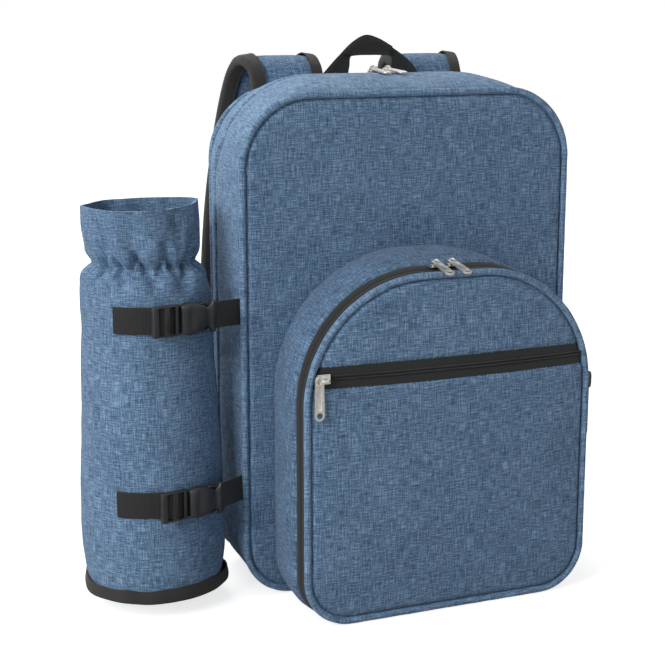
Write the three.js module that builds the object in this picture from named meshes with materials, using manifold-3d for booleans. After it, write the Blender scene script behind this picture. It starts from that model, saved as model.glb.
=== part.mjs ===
// Cooler backpack with a front pocket, two padded shoulder straps and a bottle sleeve at its left side.
// Millimetres, +Z up. The front faces -Y, and +X is the wearer's right, so the sleeve hangs at -X.
// The origin is the middle of the flat base of the main body.
import * as THREE from 'three';
import { mergeVertices } from 'three/addons/utils/BufferGeometryUtils.js';
import Module from 'manifold-3d';

const wasm = await Module();
wasm.setup();

// Clearances and cloth thicknesses
const gap = 0.3;
const clothWall = 2.4;
const padWall = 5;
const webThickness = 1.8;
const pipeRadius = 2.75;

// Main body
const bodyWidth = 280;
const bodyHeight = 393;
const bodyDepth = 90;
const bodyTopCorner = 57;
const bodyBottomCorner = 42;
const bodySideSwell = 5;
const bodyTopSwell = 13;
const bodyTopRounding = 26;
const bodyBottomRounding = 14;
const bodyRearNarrowing = 6;
const panelEdgeDrop = 1.2;
const panelEdgeShare = 0.93;
const bodyZipShare = 0.578;
const bodyZipWidth = 6;
const zipSink = 0.8;

// Front pocket
const pocketDepth = 77;
const pocketWidth = 238;
const pocketHeight = 265;
const pocketTopCorner = 95;
const pocketBottomCorner = 38;
const pocketRearWidth = 229;
const pocketRearHeight = 273;
const pocketRearCorner = 106;
const pocketSwell = 4;
const pocketDome = 7;
const pocketZipWidth = 16;
const stripTop = 201;
const stripHeight = 15.5;

// Zip sliders and pulls
const sliderLength = 10;
const sliderWidth = 7.5;
const sliderHeight = 3.6;
const pullLength = 21;
const pullWidth = 8.5;
const pullThickness = 1.4;
const pullHole = 2.8;
const stripPullLength = 27;
const bodyZipSpread = 5.9;
const bodyZipShift = -0.8;
const bodyPullTurn = -84;
const bodyPullDip = 5;
const pocketPullDip = 17;
const pocketPullLift = 2.6;
const pocketZipSpread = 6.6;
const pocketZipShift = -3.2;
const pocketPullTurn = -84;
const stripSliderFromEdge = 11;
const stripPullShift = -4;

// Grab handle
const handleWidth = 89;
const handleRise = 34;
const handleFromBack = 9;

// Shoulder straps
const strapWidth = 64;
const strapThickness = 10;
const strapBinding = 10;
const strapFromSide = 77;
const strapAboveBody = 18.5;
const strapReach = 44;
const strapSpread = 48;
const strapWebWidth = 25;
const adjusterLength = 30;
const adjusterThickness = 3.5;
const anchorFromSide = 28;
const anchorHeight = 28;
const anchorSize = 30;
const adjusterDrop = 12;
const adjusterRim = 3;

// Bottle sleeve
const sleeveFromBody = 61.6;
const sleeveBehindFront = 35;
const sleeveFloor = 13;
const sleeveHeight = 298;
const sleeveRadius = 54.3;
const sleeveWall = 2.6;
const sleevePleats = 12;
const sleevePleatDepth = 2.6;
const sleeveRimLift = 1.5;
const sleeveLean = 4;
const sleeveBindHeight = 11;
const sleeveBindWall = 1.6;

// Sleeve straps and buckles
const sleeveWebWidth = 20;
const upperStrapHeight = 232;
const lowerStrapHeight = 93;
const buckleTurn = -76;
const webStartTurn = -133;
const webEndTurn = -84;
const socketLength = 28.5;
const socketHalfHeight = 11;
const socketFlare = 12.2;
const socketWaist = 8;
const socketThickness = 8;
const plugLength = 22;
const plugHalfHeight = 12.5;
const plugThickness = 4;
const buckleForward = 4.5;
const sideWebDrop = 2.5;

// Mesh pocket on the front pocket's right side
const meshFloor = 58;
const meshHeight = 96;
const meshBulge = 24;
const meshWall = 1.2;
const meshColumns = 6;
const meshRows = 7;
const meshHemHeight = 9;
const meshEdgeMargin = 5;
const meshFullness = 1.25;
const meshCord = 0.22;

// Shapes of the sections, as shares of the sizes above
const bodySections = [
  { depth: 0.0, swell: 0.0, narrow: 0.0 },
  { depth: 0.12, swell: 0.42, narrow: 0.0 },
  { depth: 0.34, swell: 0.84, narrow: 0.08 },
  { depth: 0.62, swell: 1.0, narrow: 0.35 },
  { depth: 0.84, swell: 0.72, narrow: 0.7 },
  { depth: 1.0, swell: 0.2, narrow: 1.0 },
];
const pocketSections = [
  { depth: 0.0, swell: 0.0 },
  { depth: 0.25, swell: 0.8 },
  { depth: 0.6, swell: 1.0 },
  { depth: 1.0, swell: 0.0 },
];
const sleeveSections = [
  { up: 0.0, girth: 0.94, pleat: 0.0, lift: 0.0, lean: 0.0 },
  { up: 0.06, girth: 0.99, pleat: 0.0, lift: 0.0, lean: 0.0 },
  { up: 0.42, girth: 0.975, pleat: 0.0, lift: 0.0, lean: 0.15 },
  { up: 0.69, girth: 0.91, pleat: 0.0, lift: 0.0, lean: 0.35 },
  { up: 0.795, girth: 0.895, pleat: 0.12, lift: 0.0, lean: 0.5 },
  { up: 0.83, girth: 0.84, pleat: 0.7, lift: 0.0, lean: 0.55 },
  { up: 0.855, girth: 0.7, pleat: 1.0, lift: 0.0, lean: 0.6 },
  { up: 0.885, girth: 0.765, pleat: 0.85, lift: 0.1, lean: 0.8 },
  { up: 0.94, girth: 0.82, pleat: 0.45, lift: 0.5, lean: 1.0 },
  { up: 1.0, girth: 0.8, pleat: 0.35, lift: 1.0, lean: 1.0 },
];
const strapSections = [
  { rise: 0.905, reach: 0.0, spread: 0.0, width: 0.94 },
  { rise: 0.95, reach: 0.03, spread: 0.0, width: 0.94 },
  { rise: 0.985, reach: 0.19, spread: 0.0, width: 0.96 },
  { rise: 1.0, reach: 0.5, spread: 0.03, width: 1.0 },
  { rise: 0.985, reach: 0.83, spread: 0.08, width: 1.0 },
  { rise: 0.94, reach: 1.0, spread: 0.17, width: 1.0 },
  { rise: 0.84, reach: 0.96, spread: 0.37, width: 1.0 },
  { rise: 0.71, reach: 0.84, spread: 0.6, width: 0.96 },
  { rise: 0.57, reach: 0.7, spread: 0.79, width: 0.88 },
  { rise: 0.44, reach: 0.6, spread: 0.91, width: 0.78 },
  { rise: 0.32, reach: 0.54, spread: 0.99, width: 0.66 },
];
const handleSections = [
  { inner: 0.44, innerRise: 0.0, outer: 1.0, outerRise: 0.0 },
  { inner: 0.44, innerRise: 0.32, outer: 0.92, outerRise: 0.32 },
  { inner: 0.43, innerRise: 0.5, outer: 0.72, outerRise: 0.6 },
  { inner: 0.36, innerRise: 0.53, outer: 0.42, outerRise: 0.88 },
  { inner: 0.16, innerRise: 0.54, outer: 0.17, outerRise: 1.0 },
];
const socketOutline = [
  { along: 0.0, half: socketHalfHeight },
  { along: 0.5, half: socketHalfHeight },
  { along: 0.66, half: (socketHalfHeight + socketWaist) / 2 },
  { along: 0.78, half: socketWaist },
  { along: 0.9, half: (socketWaist + socketFlare) / 2 },
  { along: 0.95, half: socketFlare },
  { along: 1.0, half: socketFlare },
];

const frameSlots = [
  { from: 0.2, to: 0.42 },
  { from: 0.62, to: 0.84 },
];

// Colours and finishes
const finishes = {
  fabric: { color: 0x4f6b8c, roughness: 0.92, metalness: 0 },
  webbing: { color: 0x1d1d1f, roughness: 0.85, metalness: 0 },
  binding: { color: 0x2b2725, roughness: 0.9, metalness: 0 },
  zipTape: { color: 0x161719, roughness: 0.8, metalness: 0 },
  metal: { color: 0x9a958c, roughness: 0.32, metalness: 1 },
  plastic: { color: 0x202124, roughness: 0.45, metalness: 0 },
  net: { color: 0x18191b, roughness: 0.8, metalness: 0 },
};

// Steps of the finer curves, and how far past the object a cutting block reaches
const webSteps = 7;
const pleatSteps = 4;
const sectionMargin = 1;
const cutterShare = 4;

// Working values that follow from the sizes
const frontY = -bodyDepth / 2;
const backY = bodyDepth / 2;
const panelProud = pipeRadius - gap;
const panelFrontY = frontY - panelProud;
const backFaceY = backY + padWall / 2;
const pocketFrontY = frontY - pocketDepth;
const pocketRearY = frontY - pipeRadius - gap;
const cornerSteps = 7;
const sidePoints = 3;
const ringPoints = 4 * (cornerSteps + 1) + 2 * sidePoints + 2;
const rightBottomEnd = cornerSteps;
const leftBottomStart = 3 * (cornerSteps + 1) + 2 * sidePoints + 1;
const pipeSides = 6;
const quarterTurn = Math.PI / 2;
const fullTurn = 2 * Math.PI;
const bodyZipFromFront = bodyZipShare * bodyDepth;
const strapRise = bodyHeight + strapAboveBody;
const strapInset = bodyWidth / 2 - strapFromSide;
const anchorInset = bodyWidth / 2 - anchorFromSide;
const sleeveFromMiddle = bodyWidth / 2 + sleeveFromBody;

const backpack = new THREE.Group();

function addPiece(name, geometry, finish) {
  const mesh = new THREE.Mesh(geometry, new THREE.MeshStandardMaterial(finishes[finish]));
  mesh.name = name;
  backpack.add(mesh);
  return mesh;
}

function radians(degrees) {
  return THREE.MathUtils.degToRad(degrees);
}

function mix(a, b, share) {
  return a + (b - a) * share;
}

// Reads a table of sections at a value of its first column, with straight runs between its rows
function readTable(rows, key, value) {
  let index = 1;
  while (index < rows.length - 1 && rows[index][key] < value) {
    index += 1;
  }
  const before = rows[index - 1];
  const after = rows[index];
  const share = THREE.MathUtils.clamp((value - before[key]) / (after[key] - before[key]), 0, 1);
  const row = {};
  for (const column of Object.keys(before)) {
    row[column] = mix(before[column], after[column], share);
  }
  return row;
}

// Closed body from points and triangles, with its faces turned outwards
function solid(points, faces) {
  let volume = 0;
  for (let f = 0; f < faces.length; f += 3) {
    const [a, b, c] = [points[faces[f]], points[faces[f + 1]], points[faces[f + 2]]];
    volume += a[0] * (b[1] * c[2] - b[2] * c[1]);
    volume += a[1] * (b[2] * c[0] - b[0] * c[2]);
    volume += a[2] * (b[0] * c[1] - b[1] * c[0]);
  }
  const turned = [];
  for (let f = 0; f < faces.length; f += 3) {
    turned.push(faces[f], faces[volume < 0 ? f + 2 : f + 1], faces[volume < 0 ? f + 1 : f + 2]);
  }
  const geometry = new THREE.BufferGeometry();
  geometry.setAttribute('position', new THREE.Float32BufferAttribute(points.flat(), 3));
  geometry.setIndex(turned);
  geometry.computeVertexNormals();
  return geometry;
}

// Skin over rings of points: each ring joins the next, and the two ends are capped or joined
function skin(rings, joined) {
  const count = rings[0].length;
  const points = rings.flat();
  const faces = [];
  const strips = joined ? rings.length : rings.length - 1;
  for (let r = 0; r < strips; r += 1) {
    const here = r * count;
    const next = ((r + 1) % rings.length) * count;
    for (let i = 0; i < count; i += 1) {
      const j = (i + 1) % count;
      faces.push(here + i, here + j, next + j);
      faces.push(here + i, next + j, next + i);
    }
  }
  if (!joined) {
    addCap(points, faces, 0, count, true);
    addCap(points, faces, (rings.length - 1) * count, count, false);
  }
  return solid(points, faces);
}

function addCap(points, faces, start, count, reversed) {
  const centre = [0, 0, 0];
  for (let i = 0; i < count; i += 1) {
    for (let axis = 0; axis < 3; axis += 1) {
      centre[axis] += points[start + i][axis] / count;
    }
  }
  const hub = points.length;
  points.push(centre);
  for (let i = 0; i < count; i += 1) {
    const j = (i + 1) % count;
    if (reversed) {
      faces.push(hub, start + j, start + i);
    } else {
      faces.push(hub, start + i, start + j);
    }
  }
}

// Boolean helpers
function toManifold(geometry) {
  const bare = geometry.clone();
  bare.deleteAttribute('normal');
  bare.deleteAttribute('uv');
  const merged = mergeVertices(bare);
  return new wasm.Manifold(new wasm.Mesh({
    numProp: 3,
    vertProperties: new Float32Array(merged.attributes.position.array),
    triVerts: new Uint32Array(merged.index.array),
  }));
}

function fromManifold(body) {
  const mesh = body.getMesh();
  const geometry = new THREE.BufferGeometry();
  geometry.setAttribute('position', new THREE.BufferAttribute(new Float32Array(mesh.vertProperties), 3));
  geometry.setIndex(new THREE.BufferAttribute(new Uint32Array(mesh.triVerts), 1));
  geometry.computeVertexNormals();
  return geometry;
}

// Rounded outline of a panel, seen from the front, from the lower right corner and turning left over the top
function outline(shape) {
  const points = [];
  const corner = (x, z, radius, start) => {
    for (let i = 0; i <= cornerSteps; i += 1) {
      const turn = radians(start) + (quarterTurn * i) / cornerSteps;
      points.push([x + radius * Math.cos(turn), z + radius * Math.sin(turn)]);
    }
  };
  const side = (x, from, to) => {
    for (let i = 1; i <= sidePoints; i += 1) {
      points.push([x, mix(from, to, i / (sidePoints + 1))]);
    }
  };
  const topX = shape.half - shape.topCorner;
  const topZ = shape.top - shape.topCorner;
  const bottomX = shape.half - shape.bottomCorner;
  const bottomZ = shape.bottom + shape.bottomCorner;
  corner(bottomX, bottomZ, shape.bottomCorner, -90);
  side(shape.half, bottomZ, topZ);
  corner(topX, topZ, shape.topCorner, 0);
  points.push([0, shape.top]);
  corner(-topX, topZ, shape.topCorner, 90);
  side(-shape.half, topZ, bottomZ);
  corner(-bottomX, bottomZ, shape.bottomCorner, 180);
  points.push([0, shape.bottom]);
  return points;
}

function inset(shape, amount) {
  return {
    half: shape.half - amount,
    top: shape.top - amount,
    bottom: shape.bottom + amount,
    topCorner: shape.topCorner - amount,
    bottomCorner: shape.bottomCorner - amount,
  };
}

// Wall that runs round an outline: each row of its profile is a place along Y and a distance inwards
function wrap(shapeAt, profile, first = 0, last = ringPoints) {
  const lines = profile.map(([y, inwards]) => outline(inset(shapeAt(y), inwards)).map(([x, z]) => [x, y, z]));
  const whole = last - first === ringPoints;
  const rings = [];
  for (let i = first; i < (whole ? last : last + 1); i += 1) {
    rings.push(lines.map((line) => line[i % ringPoints]));
  }
  return skin(rings, whole);
}

// Cloth wall between two places along Y, with its outer and inner faces following the same sections
function clothProfile(from, to, stops, sink, wall) {
  const places = [from, ...stops.filter((y) => y > from + sectionMargin && y < to - sectionMargin), to];
  const outside = places.map((y) => [y, sink]);
  const inside = places.map((y) => [y, sink + wall]).reverse();
  return [...outside, ...inside];
}

function piping(shape, y) {
  const profile = [];
  for (let i = 0; i < pipeSides; i += 1) {
    const turn = (fullTurn * i) / pipeSides;
    profile.push([y - pipeRadius * Math.cos(turn), pipeRadius * Math.sin(turn)]);
  }
  return wrap(() => shape, profile);
}

// Panel with its edge let down towards the seam, facing -Y where facing is -1
function panel(shape, faceY, wall, facing, dome) {
  const ring = (share, y) => {
    const middle = (shape.top + shape.bottom) / 2;
    return outline(shape).map(([x, z]) => [x * share, y, middle + (z - middle) * share]);
  };
  const edgeY = faceY - facing * panelEdgeDrop;
  const backPlane = faceY - facing * wall;
  const shares = dome > 0 ? [0.3, 0.6, 0.82, panelEdgeShare] : [panelEdgeShare];
  const front = shares.map((share) => ring(share, faceY + facing * dome * (1 - share * share)));
  const back = shares.map((share) => ring(share, backPlane + facing * dome * (1 - share * share))).reverse();
  return skin([...front, ring(1, edgeY), ring(1, edgeY - facing * (wall - panelEdgeDrop)), ...back], false);
}

// Main body
function bodyShapeAt(y) {
  const { swell, narrow } = readTable(bodySections, 'depth', (y - frontY) / bodyDepth);
  return {
    half: bodyWidth / 2 - pipeRadius + bodySideSwell * swell - bodyRearNarrowing * narrow,
    top: bodyHeight - pipeRadius + bodyTopSwell * swell,
    bottom: 0,
    topCorner: bodyTopCorner - pipeRadius + bodyTopRounding * swell,
    bottomCorner: bodyBottomCorner - pipeRadius + bodyBottomRounding * swell,
  };
}

function seamShape(width, height, topCorner, bottomCorner) {
  return {
    half: width / 2 - pipeRadius,
    top: height - pipeRadius,
    bottom: pipeRadius + gap,
    topCorner: topCorner - pipeRadius,
    bottomCorner: bottomCorner - pipeRadius,
  };
}

function buildBody() {
  const rearWidth = bodyWidth - 2 * bodyRearNarrowing;
  const frontSeam = seamShape(bodyWidth, bodyHeight, bodyTopCorner, bodyBottomCorner);
  const backSeam = seamShape(rearWidth, bodyHeight, bodyTopCorner, bodyBottomCorner);
  const stops = bodySections.map((row) => frontY + row.depth * bodyDepth);
  const zipFront = frontY + bodyZipFromFront;
  const zipBack = zipFront + bodyZipWidth;
  const gussetStart = frontY + pipeRadius + gap;
  const gussetEnd = backY - pipeRadius - gap;
  const frontPanel = inset(frontSeam, pipeRadius + gap);
  addPiece('main_front_panel', panel(frontPanel, panelFrontY, clothWall, -1, 0), 'fabric');
  addPiece('main_piping', piping(frontSeam, frontY), 'fabric');
  const frontWall = clothProfile(gussetStart, zipFront - gap / 2, stops, 0, clothWall);
  addPiece('gusset_front', wrap(bodyShapeAt, frontWall), 'fabric');
  const zipWall = clothProfile(zipFront + gap / 2, zipBack - gap / 2, [], zipSink, clothWall - zipSink);
  addPiece('main_zipper', wrap(bodyShapeAt, zipWall, rightBottomEnd, leftBottomStart), 'zipTape');
  const baseWall = clothProfile(zipFront + gap / 2, zipBack - gap / 2, [], 0, clothWall);
  const basePiece = wrap(bodyShapeAt, baseWall, leftBottomStart, ringPoints + rightBottomEnd);
  const zipFoot = Math.min(bodyShapeAt(zipFront).bottomCorner, bodyShapeAt(zipBack).bottomCorner);
  addPiece('gusset_base', shortened(basePiece, zipFoot - gap), 'fabric');
  const backWall = clothProfile(zipBack + gap / 2, gussetEnd, stops, 0, clothWall);
  addPiece('gusset_back', wrap(bodyShapeAt, backWall), 'fabric');
  addPiece('back_piping', piping(backSeam, backY), 'fabric');
  addPiece('back_panel', panel(inset(backSeam, pipeRadius + gap), backFaceY, padWall, 1, 0), 'fabric');
}

// Part of a piece below a height, so that it stops a clearance short of what stands on it
function shortened(geometry, height) {
  const tall = cutterShare * bodyHeight;
  const block = new THREE.BoxGeometry(tall, tall, tall);
  block.translate(0, 0, height - tall / 2);
  return fromManifold(toManifold(geometry).intersect(toManifold(block)));
}

// Front pocket
const pocketSeam = seamShape(pocketWidth, pocketHeight, pocketTopCorner, pocketBottomCorner);

function pocketShapeAt(y) {
  const share = (y - pocketFrontY) / pocketDepth;
  const { swell } = readTable(pocketSections, 'depth', share);
  return {
    half: mix(pocketSeam.half, pocketRearWidth / 2, share) + pocketSwell * swell,
    top: mix(pocketSeam.top, pocketRearHeight, share) + pocketSwell * swell,
    bottom: 0,
    topCorner: mix(pocketSeam.topCorner, pocketRearCorner, share) + pocketSwell * swell,
    bottomCorner: pocketSeam.bottomCorner,
  };
}

function slab(low, high) {
  const wide = cutterShare * bodyWidth;
  const block = new THREE.BoxGeometry(wide, wide, high - low);
  block.translate(0, 0, (low + high) / 2);
  return toManifold(block);
}

function buildPocket() {
  const stops = pocketSections.map((row) => pocketFrontY + row.depth * pocketDepth);
  const zipFront = pocketFrontY + pipeRadius + gap;
  const zipBack = zipFront + pocketZipWidth;
  const cornerMiddle = Math.floor(cornerSteps / 2);
  const zipFirst = rightBottomEnd - cornerMiddle;
  const zipLast = leftBottomStart + cornerMiddle;
  const zipWall = clothProfile(zipFront, zipBack, [], zipSink, clothWall - zipSink);
  const zipBand = toManifold(wrap(pocketShapeAt, zipWall, zipFirst, zipLast));
  const zipFoot = outline(pocketShapeAt(zipFront))[zipFirst][1] + gap;
  addPiece('pocket_zipper', fromManifold(zipBand.intersect(slab(zipFoot, 2 * bodyHeight))), 'zipTape');
  const baseWall = clothProfile(zipFront, zipBack, [], 0, clothWall);
  const base = wrap(pocketShapeAt, baseWall, zipLast, ringPoints + zipFirst);
  addPiece('pocket_base', shortened(base, zipFoot - gap), 'fabric');
  const wall = clothProfile(zipBack + gap, pocketRearY, stops, 0, clothWall);
  addPiece('pocket_gusset', wrap(pocketShapeAt, wall), 'fabric');
  addPiece('pocket_piping', piping(pocketSeam, pocketFrontY), 'fabric');
  const faceShape = inset(pocketSeam, pipeRadius + gap);
  const face = toManifold(panel(faceShape, pocketFrontY - panelProud, clothWall, -1, pocketDome));
  const stripBottom = stripTop - stripHeight;
  const upper = slab(stripTop + gap, 2 * bodyHeight);
  const middle = slab(stripBottom, stripTop);
  const lower = slab(-bodyHeight, stripBottom - gap);
  addPiece('pocket_panel_upper', fromManifold(face.intersect(upper)), 'fabric');
  addPiece('pocket_zip_strip', fromManifold(face.intersect(middle)), 'zipTape');
  addPiece('pocket_panel_lower', fromManifold(face.intersect(lower)), 'fabric');
}

// How far the pocket's domed face stands proud of its edge at a place on it
function faceDomeAt(x, z) {
  const shape = inset(pocketSeam, pipeRadius + gap);
  const middle = (shape.top + shape.bottom) / 2;
  const points = outline(shape);
  let share = 0;
  points.forEach(([startX, startZ], index) => {
    const [endX, endZ] = points[(index + 1) % points.length];
    const cross = startX * (endZ - middle) - endX * (startZ - middle);
    const reach = (x * (endZ - startZ) - (z - middle) * (endX - startX)) / cross;
    share = Math.max(share, reach);
  });
  return pocketDome * (1 - share * share);
}

// Zip slider: a wedge body with a raised bridge, its length along X and its foot at z = 0
function sliderGeometry() {
  const shape = new THREE.Shape();
  const end = sliderLength / 2;
  const shoulder = sliderLength / 4;
  shape.moveTo(-end, 0);
  shape.lineTo(end, 0);
  shape.lineTo(end, sliderHeight / 3);
  shape.lineTo(shoulder, sliderHeight / 2);
  shape.lineTo(shoulder / 2, sliderHeight);
  shape.lineTo(-shoulder / 2, sliderHeight);
  shape.lineTo(-shoulder, sliderHeight / 2);
  shape.lineTo(-end, sliderHeight / 3);
  const geometry = new THREE.ExtrudeGeometry(shape, { depth: sliderWidth, bevelEnabled: false });
  geometry.translate(0, 0, -sliderWidth / 2);
  geometry.rotateX(quarterTurn);
  return geometry;
}

// Zip pull: a flat tongue with a round hole near its free end, along +X from the origin
function pullGeometry(length) {
  const half = pullWidth / 2;
  const neck = half / 2;
  const shape = new THREE.Shape();
  shape.moveTo(0, -neck);
  shape.lineTo(length / 3, -half);
  shape.lineTo(length - half, -half);
  shape.absarc(length - half, 0, half, -quarterTurn, quarterTurn, false);
  shape.lineTo(length / 3, half);
  shape.lineTo(0, neck);
  const hole = new THREE.Path();
  hole.absarc(length - half, 0, pullHole, 0, fullTurn, true);
  shape.holes.push(hole);
  return new THREE.ExtrudeGeometry(shape, { depth: pullThickness, bevelEnabled: false, curveSegments: 5 });
}

// Slider and pull on a zip that runs along X: the pull lies towards the front, turned and dipped by two angles,
// lifted off the zip and shifted along it
function placeZip(name, place, tilt, turn, dip, length, lift, shift) {
  const holder = new THREE.Group();
  holder.position.set(...place);
  holder.rotation.x = tilt;
  backpack.add(holder);
  const slider = addPiece(`${name}_slider`, sliderGeometry(), 'metal');
  const pull = addPiece(`${name}_pull`, pullGeometry(length), 'metal');
  const reach = sliderWidth / 2 + gap + (pullWidth / 4) * Math.cos(turn);
  pull.rotation.set(0, dip, turn, 'ZYX');
  pull.position.set(reach * Math.cos(turn) + shift, reach * Math.sin(turn), lift);
  holder.add(slider, pull);
}

function buildZips() {
  const zipY = frontY + bodyZipFromFront + bodyZipWidth / 2;
  const zipTop = bodyShapeAt(zipY + sliderWidth / 2).top + gap;
  const bodyDip = radians(bodyPullDip);
  for (const [name, x] of [['main_left', -bodyZipSpread], ['main_right', bodyZipSpread]]) {
    placeZip(name, [x + bodyZipShift, zipY, zipTop], 0, radians(bodyPullTurn), bodyDip, pullLength, gap, 0);
  }
  const pocketZipY = pocketFrontY + pipeRadius + gap + pocketZipWidth / 2;
  const pocketZipTop = pocketShapeAt(pocketZipY + sliderWidth / 2).top - zipSink + gap;
  const pocketTurn = radians(pocketPullTurn);
  const pocketDip = radians(pocketPullDip);
  for (const [name, x] of [['pocket_left', -pocketZipSpread], ['pocket_right', pocketZipSpread]]) {
    const place = [x + pocketZipShift, pocketZipY, pocketZipTop];
    placeZip(name, place, 0, pocketTurn, pocketDip, pullLength, pocketPullLift, 0);
  }
  const stripMiddle = stripTop - stripHeight / 2;
  const stripX = stripSliderFromEdge - pocketSeam.half;
  const inner = stripX + sliderLength / 2;
  const pullFoot = stripMiddle - sliderWidth / 2 - gap - stripPullLength;
  const proud = Math.max(faceDomeAt(inner, stripMiddle), faceDomeAt(inner, pullFoot));
  const place = [stripX, pocketFrontY - panelProud - proud - gap, stripMiddle];
  placeZip('strip', place, quarterTurn, -quarterTurn, 0, stripPullLength, gap, stripPullShift);
}

// Grab handle: a flat band of webbing standing across the top, drawn from its left foot to its right foot
function buildHandle() {
  const handleY = backY - handleFromBack;
  const foot = bodyShapeAt(handleY).top + gap;
  const half = handleWidth / 2;
  const sections = [
    ...handleSections.map((row) => ({ ...row, side: -1 })),
    ...[...handleSections].reverse().map((row) => ({ ...row, side: 1 })),
  ];
  const rings = sections.map((row) => {
    const low = [row.side * half * row.inner, foot + handleRise * row.innerRise];
    const high = [row.side * half * row.outer, foot + handleRise * row.outerRise];
    return [[low, 0], [high, 0], [high, webThickness], [low, webThickness]].map(([[x, z], back]) => [
      x, handleY + back, z,
    ]);
  });
  addPiece('grab_handle', skin(rings, false), 'webbing');
}

// Place of the bottle sleeve's upright axis, seen from above
function sleeveAxis() {
  return [-sleeveFromMiddle, frontY + sleeveBehindFront];
}

function sleeveRadiusAt(row, turn) {
  return sleeveRadius * row.girth + sleevePleatDepth * row.pleat * Math.cos(sleevePleats * turn);
}

// Ring of points round the bottle sleeve at one row of its table, at a distance inside its outer face
function sleeveRing(row, inwards) {
  const [axisX, axisY] = sleeveAxis();
  const steps = sleevePleats * pleatSteps;
  const ring = [];
  for (let i = 0; i < steps; i += 1) {
    const turn = (fullTurn * i) / steps;
    const radius = sleeveRadiusAt(row, turn) - inwards;
    const lift = sleeveRimLift * row.lift * Math.cos(turn);
    ring.push([
      axisX + radius * Math.cos(turn) - sleeveLean * row.lean,
      axisY + radius * Math.sin(turn),
      sleeveFloor + sleeveHeight * row.up + lift,
    ]);
  }
  return ring;
}

function sleeveRowAt(height) {
  return readTable(sleeveSections, 'up', (height - sleeveFloor) / sleeveHeight);
}

// Bottle sleeve: an open cloth tube gathered below its collar, a round floor and a binding round its foot
function buildSleeve() {
  const outside = sleeveSections.map((row) => sleeveRing(row, 0));
  const inside = sleeveSections.map((row) => sleeveRing(row, sleeveWall)).reverse();
  addPiece('sleeve_body', skin([...outside, ...inside], true), 'fabric');
  const floorLow = sleeveSections[0];
  const floorHigh = sleeveRowAt(sleeveFloor + sleeveWall);
  const floorSink = sleeveWall + gap;
  addPiece('sleeve_base', skin([sleeveRing(floorLow, floorSink), sleeveRing(floorHigh, floorSink)], false), 'fabric');
  const bindTop = sleeveRowAt(sleeveFloor + sleeveBindHeight);
  const band = [floorLow, bindTop];
  const bandOut = band.map((row) => sleeveRing(row, -gap - sleeveBindWall));
  const bandIn = band.map((row) => sleeveRing(row, -gap)).reverse();
  addPiece('sleeve_binding', skin([...bandOut, ...bandIn], true), 'binding');
}

// Webbing, buckle and side webbing that hold the sleeve to the body at one height
function buildSleeveStrap(suffix, height) {
  const [axisX, axisY] = sleeveAxis();
  const low = height - sleeveWebWidth / 2;
  const high = height + sleeveWebWidth / 2;
  const rings = [];
  for (let i = 0; i <= webSteps; i += 1) {
    const turn = radians(mix(webStartTurn, webEndTurn, i / webSteps));
    const corner = (z, outwards) => {
      const row = sleeveRowAt(z);
      const radius = sleeveRadiusAt(row, turn) + gap + outwards;
      return [axisX + radius * Math.cos(turn) - sleeveLean * row.lean, axisY + radius * Math.sin(turn), z];
    };
    rings.push([corner(low, 0), corner(low, webThickness), corner(high, webThickness), corner(high, 0)]);
  }
  addPiece(`sleeve_webbing_${suffix}`, skin(rings, false), 'webbing');

  const turn = radians(buckleTurn);
  const tangent = new THREE.Vector3(-Math.sin(turn), Math.cos(turn), 0);
  const normal = new THREE.Vector3(Math.cos(turn), Math.sin(turn), 0);
  const webFace = sleeveRadius * sleeveRowAt(low).girth + gap + webThickness;
  const standOff = webFace * Math.cos(radians(webEndTurn - buckleTurn)) + gap;
  const foot = new THREE.Vector3(axisX, axisY, height).addScaledVector(normal, standOff);
  const basis = new THREE.Matrix4().makeBasis(tangent, new THREE.Vector3(0, 0, 1), normal);
  const place = (mesh, along) => {
    mesh.setRotationFromMatrix(basis);
    mesh.position.copy(foot).addScaledVector(tangent, along);
  };
  place(addPiece(`buckle_plug_${suffix}`, plugGeometry(), 'plastic'), -buckleForward - gap - plugLength);
  place(addPiece(`buckle_socket_${suffix}`, socketGeometry(), 'plastic'), -buckleForward);

  const start = foot.clone().addScaledVector(tangent, socketLength - buckleForward + gap + webThickness / 2);
  start.addScaledVector(normal, socketThickness / 2);
  const seamY = frontY + pipeRadius + gap + webThickness;
  const end = new THREE.Vector3(-bodyShapeAt(seamY).half - gap - webThickness / 2, seamY, height - sideWebDrop);
  const run = new THREE.Vector2(end.x - start.x, end.y - start.y).normalize();
  const edge = (point, z, side) => [
    point.x - (side * run.y * webThickness) / 2,
    point.y + (side * run.x * webThickness) / 2,
    z,
  ];
  const half = sleeveWebWidth / 2;
  const section = (point) => [
    edge(point, point.z - half, -1),
    edge(point, point.z + half, -1),
    edge(point, point.z + half, 1),
    edge(point, point.z - half, 1),
  ];
  addPiece(`side_webbing_${suffix}`, skin([section(start), section(end)], false), 'webbing');
}

// Buckle socket: a box with a scalloped waist and flared mouth, its length along X and its foot at z = 0
function socketGeometry() {
  const shape = new THREE.Shape();
  socketOutline.forEach((row, index) => {
    const x = row.along * socketLength;
    if (index === 0) {
      shape.moveTo(x, -row.half);
    } else {
      shape.lineTo(x, -row.half);
    }
  });
  [...socketOutline].reverse().forEach((row) => shape.lineTo(row.along * socketLength, row.half));
  return new THREE.ExtrudeGeometry(shape, { depth: socketThickness, bevelEnabled: false });
}

// Flat frame with two slots, used for the buckle's plug and for the strap adjusters
function slottedFrame(length, half, thickness, slotHalf) {
  const block = (from, to, halfHeight, halfThick) => {
    const box = new THREE.BoxGeometry((to - from) * length, 2 * halfHeight, 2 * halfThick);
    box.translate(((from + to) / 2) * length, 0, thickness / 2);
    return toManifold(box);
  };
  let frame = block(0, 1, half, thickness / 2);
  for (const slot of frameSlots) {
    frame = frame.subtract(block(slot.from, slot.to, slotHalf, thickness));
  }
  return fromManifold(frame);
}

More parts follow.
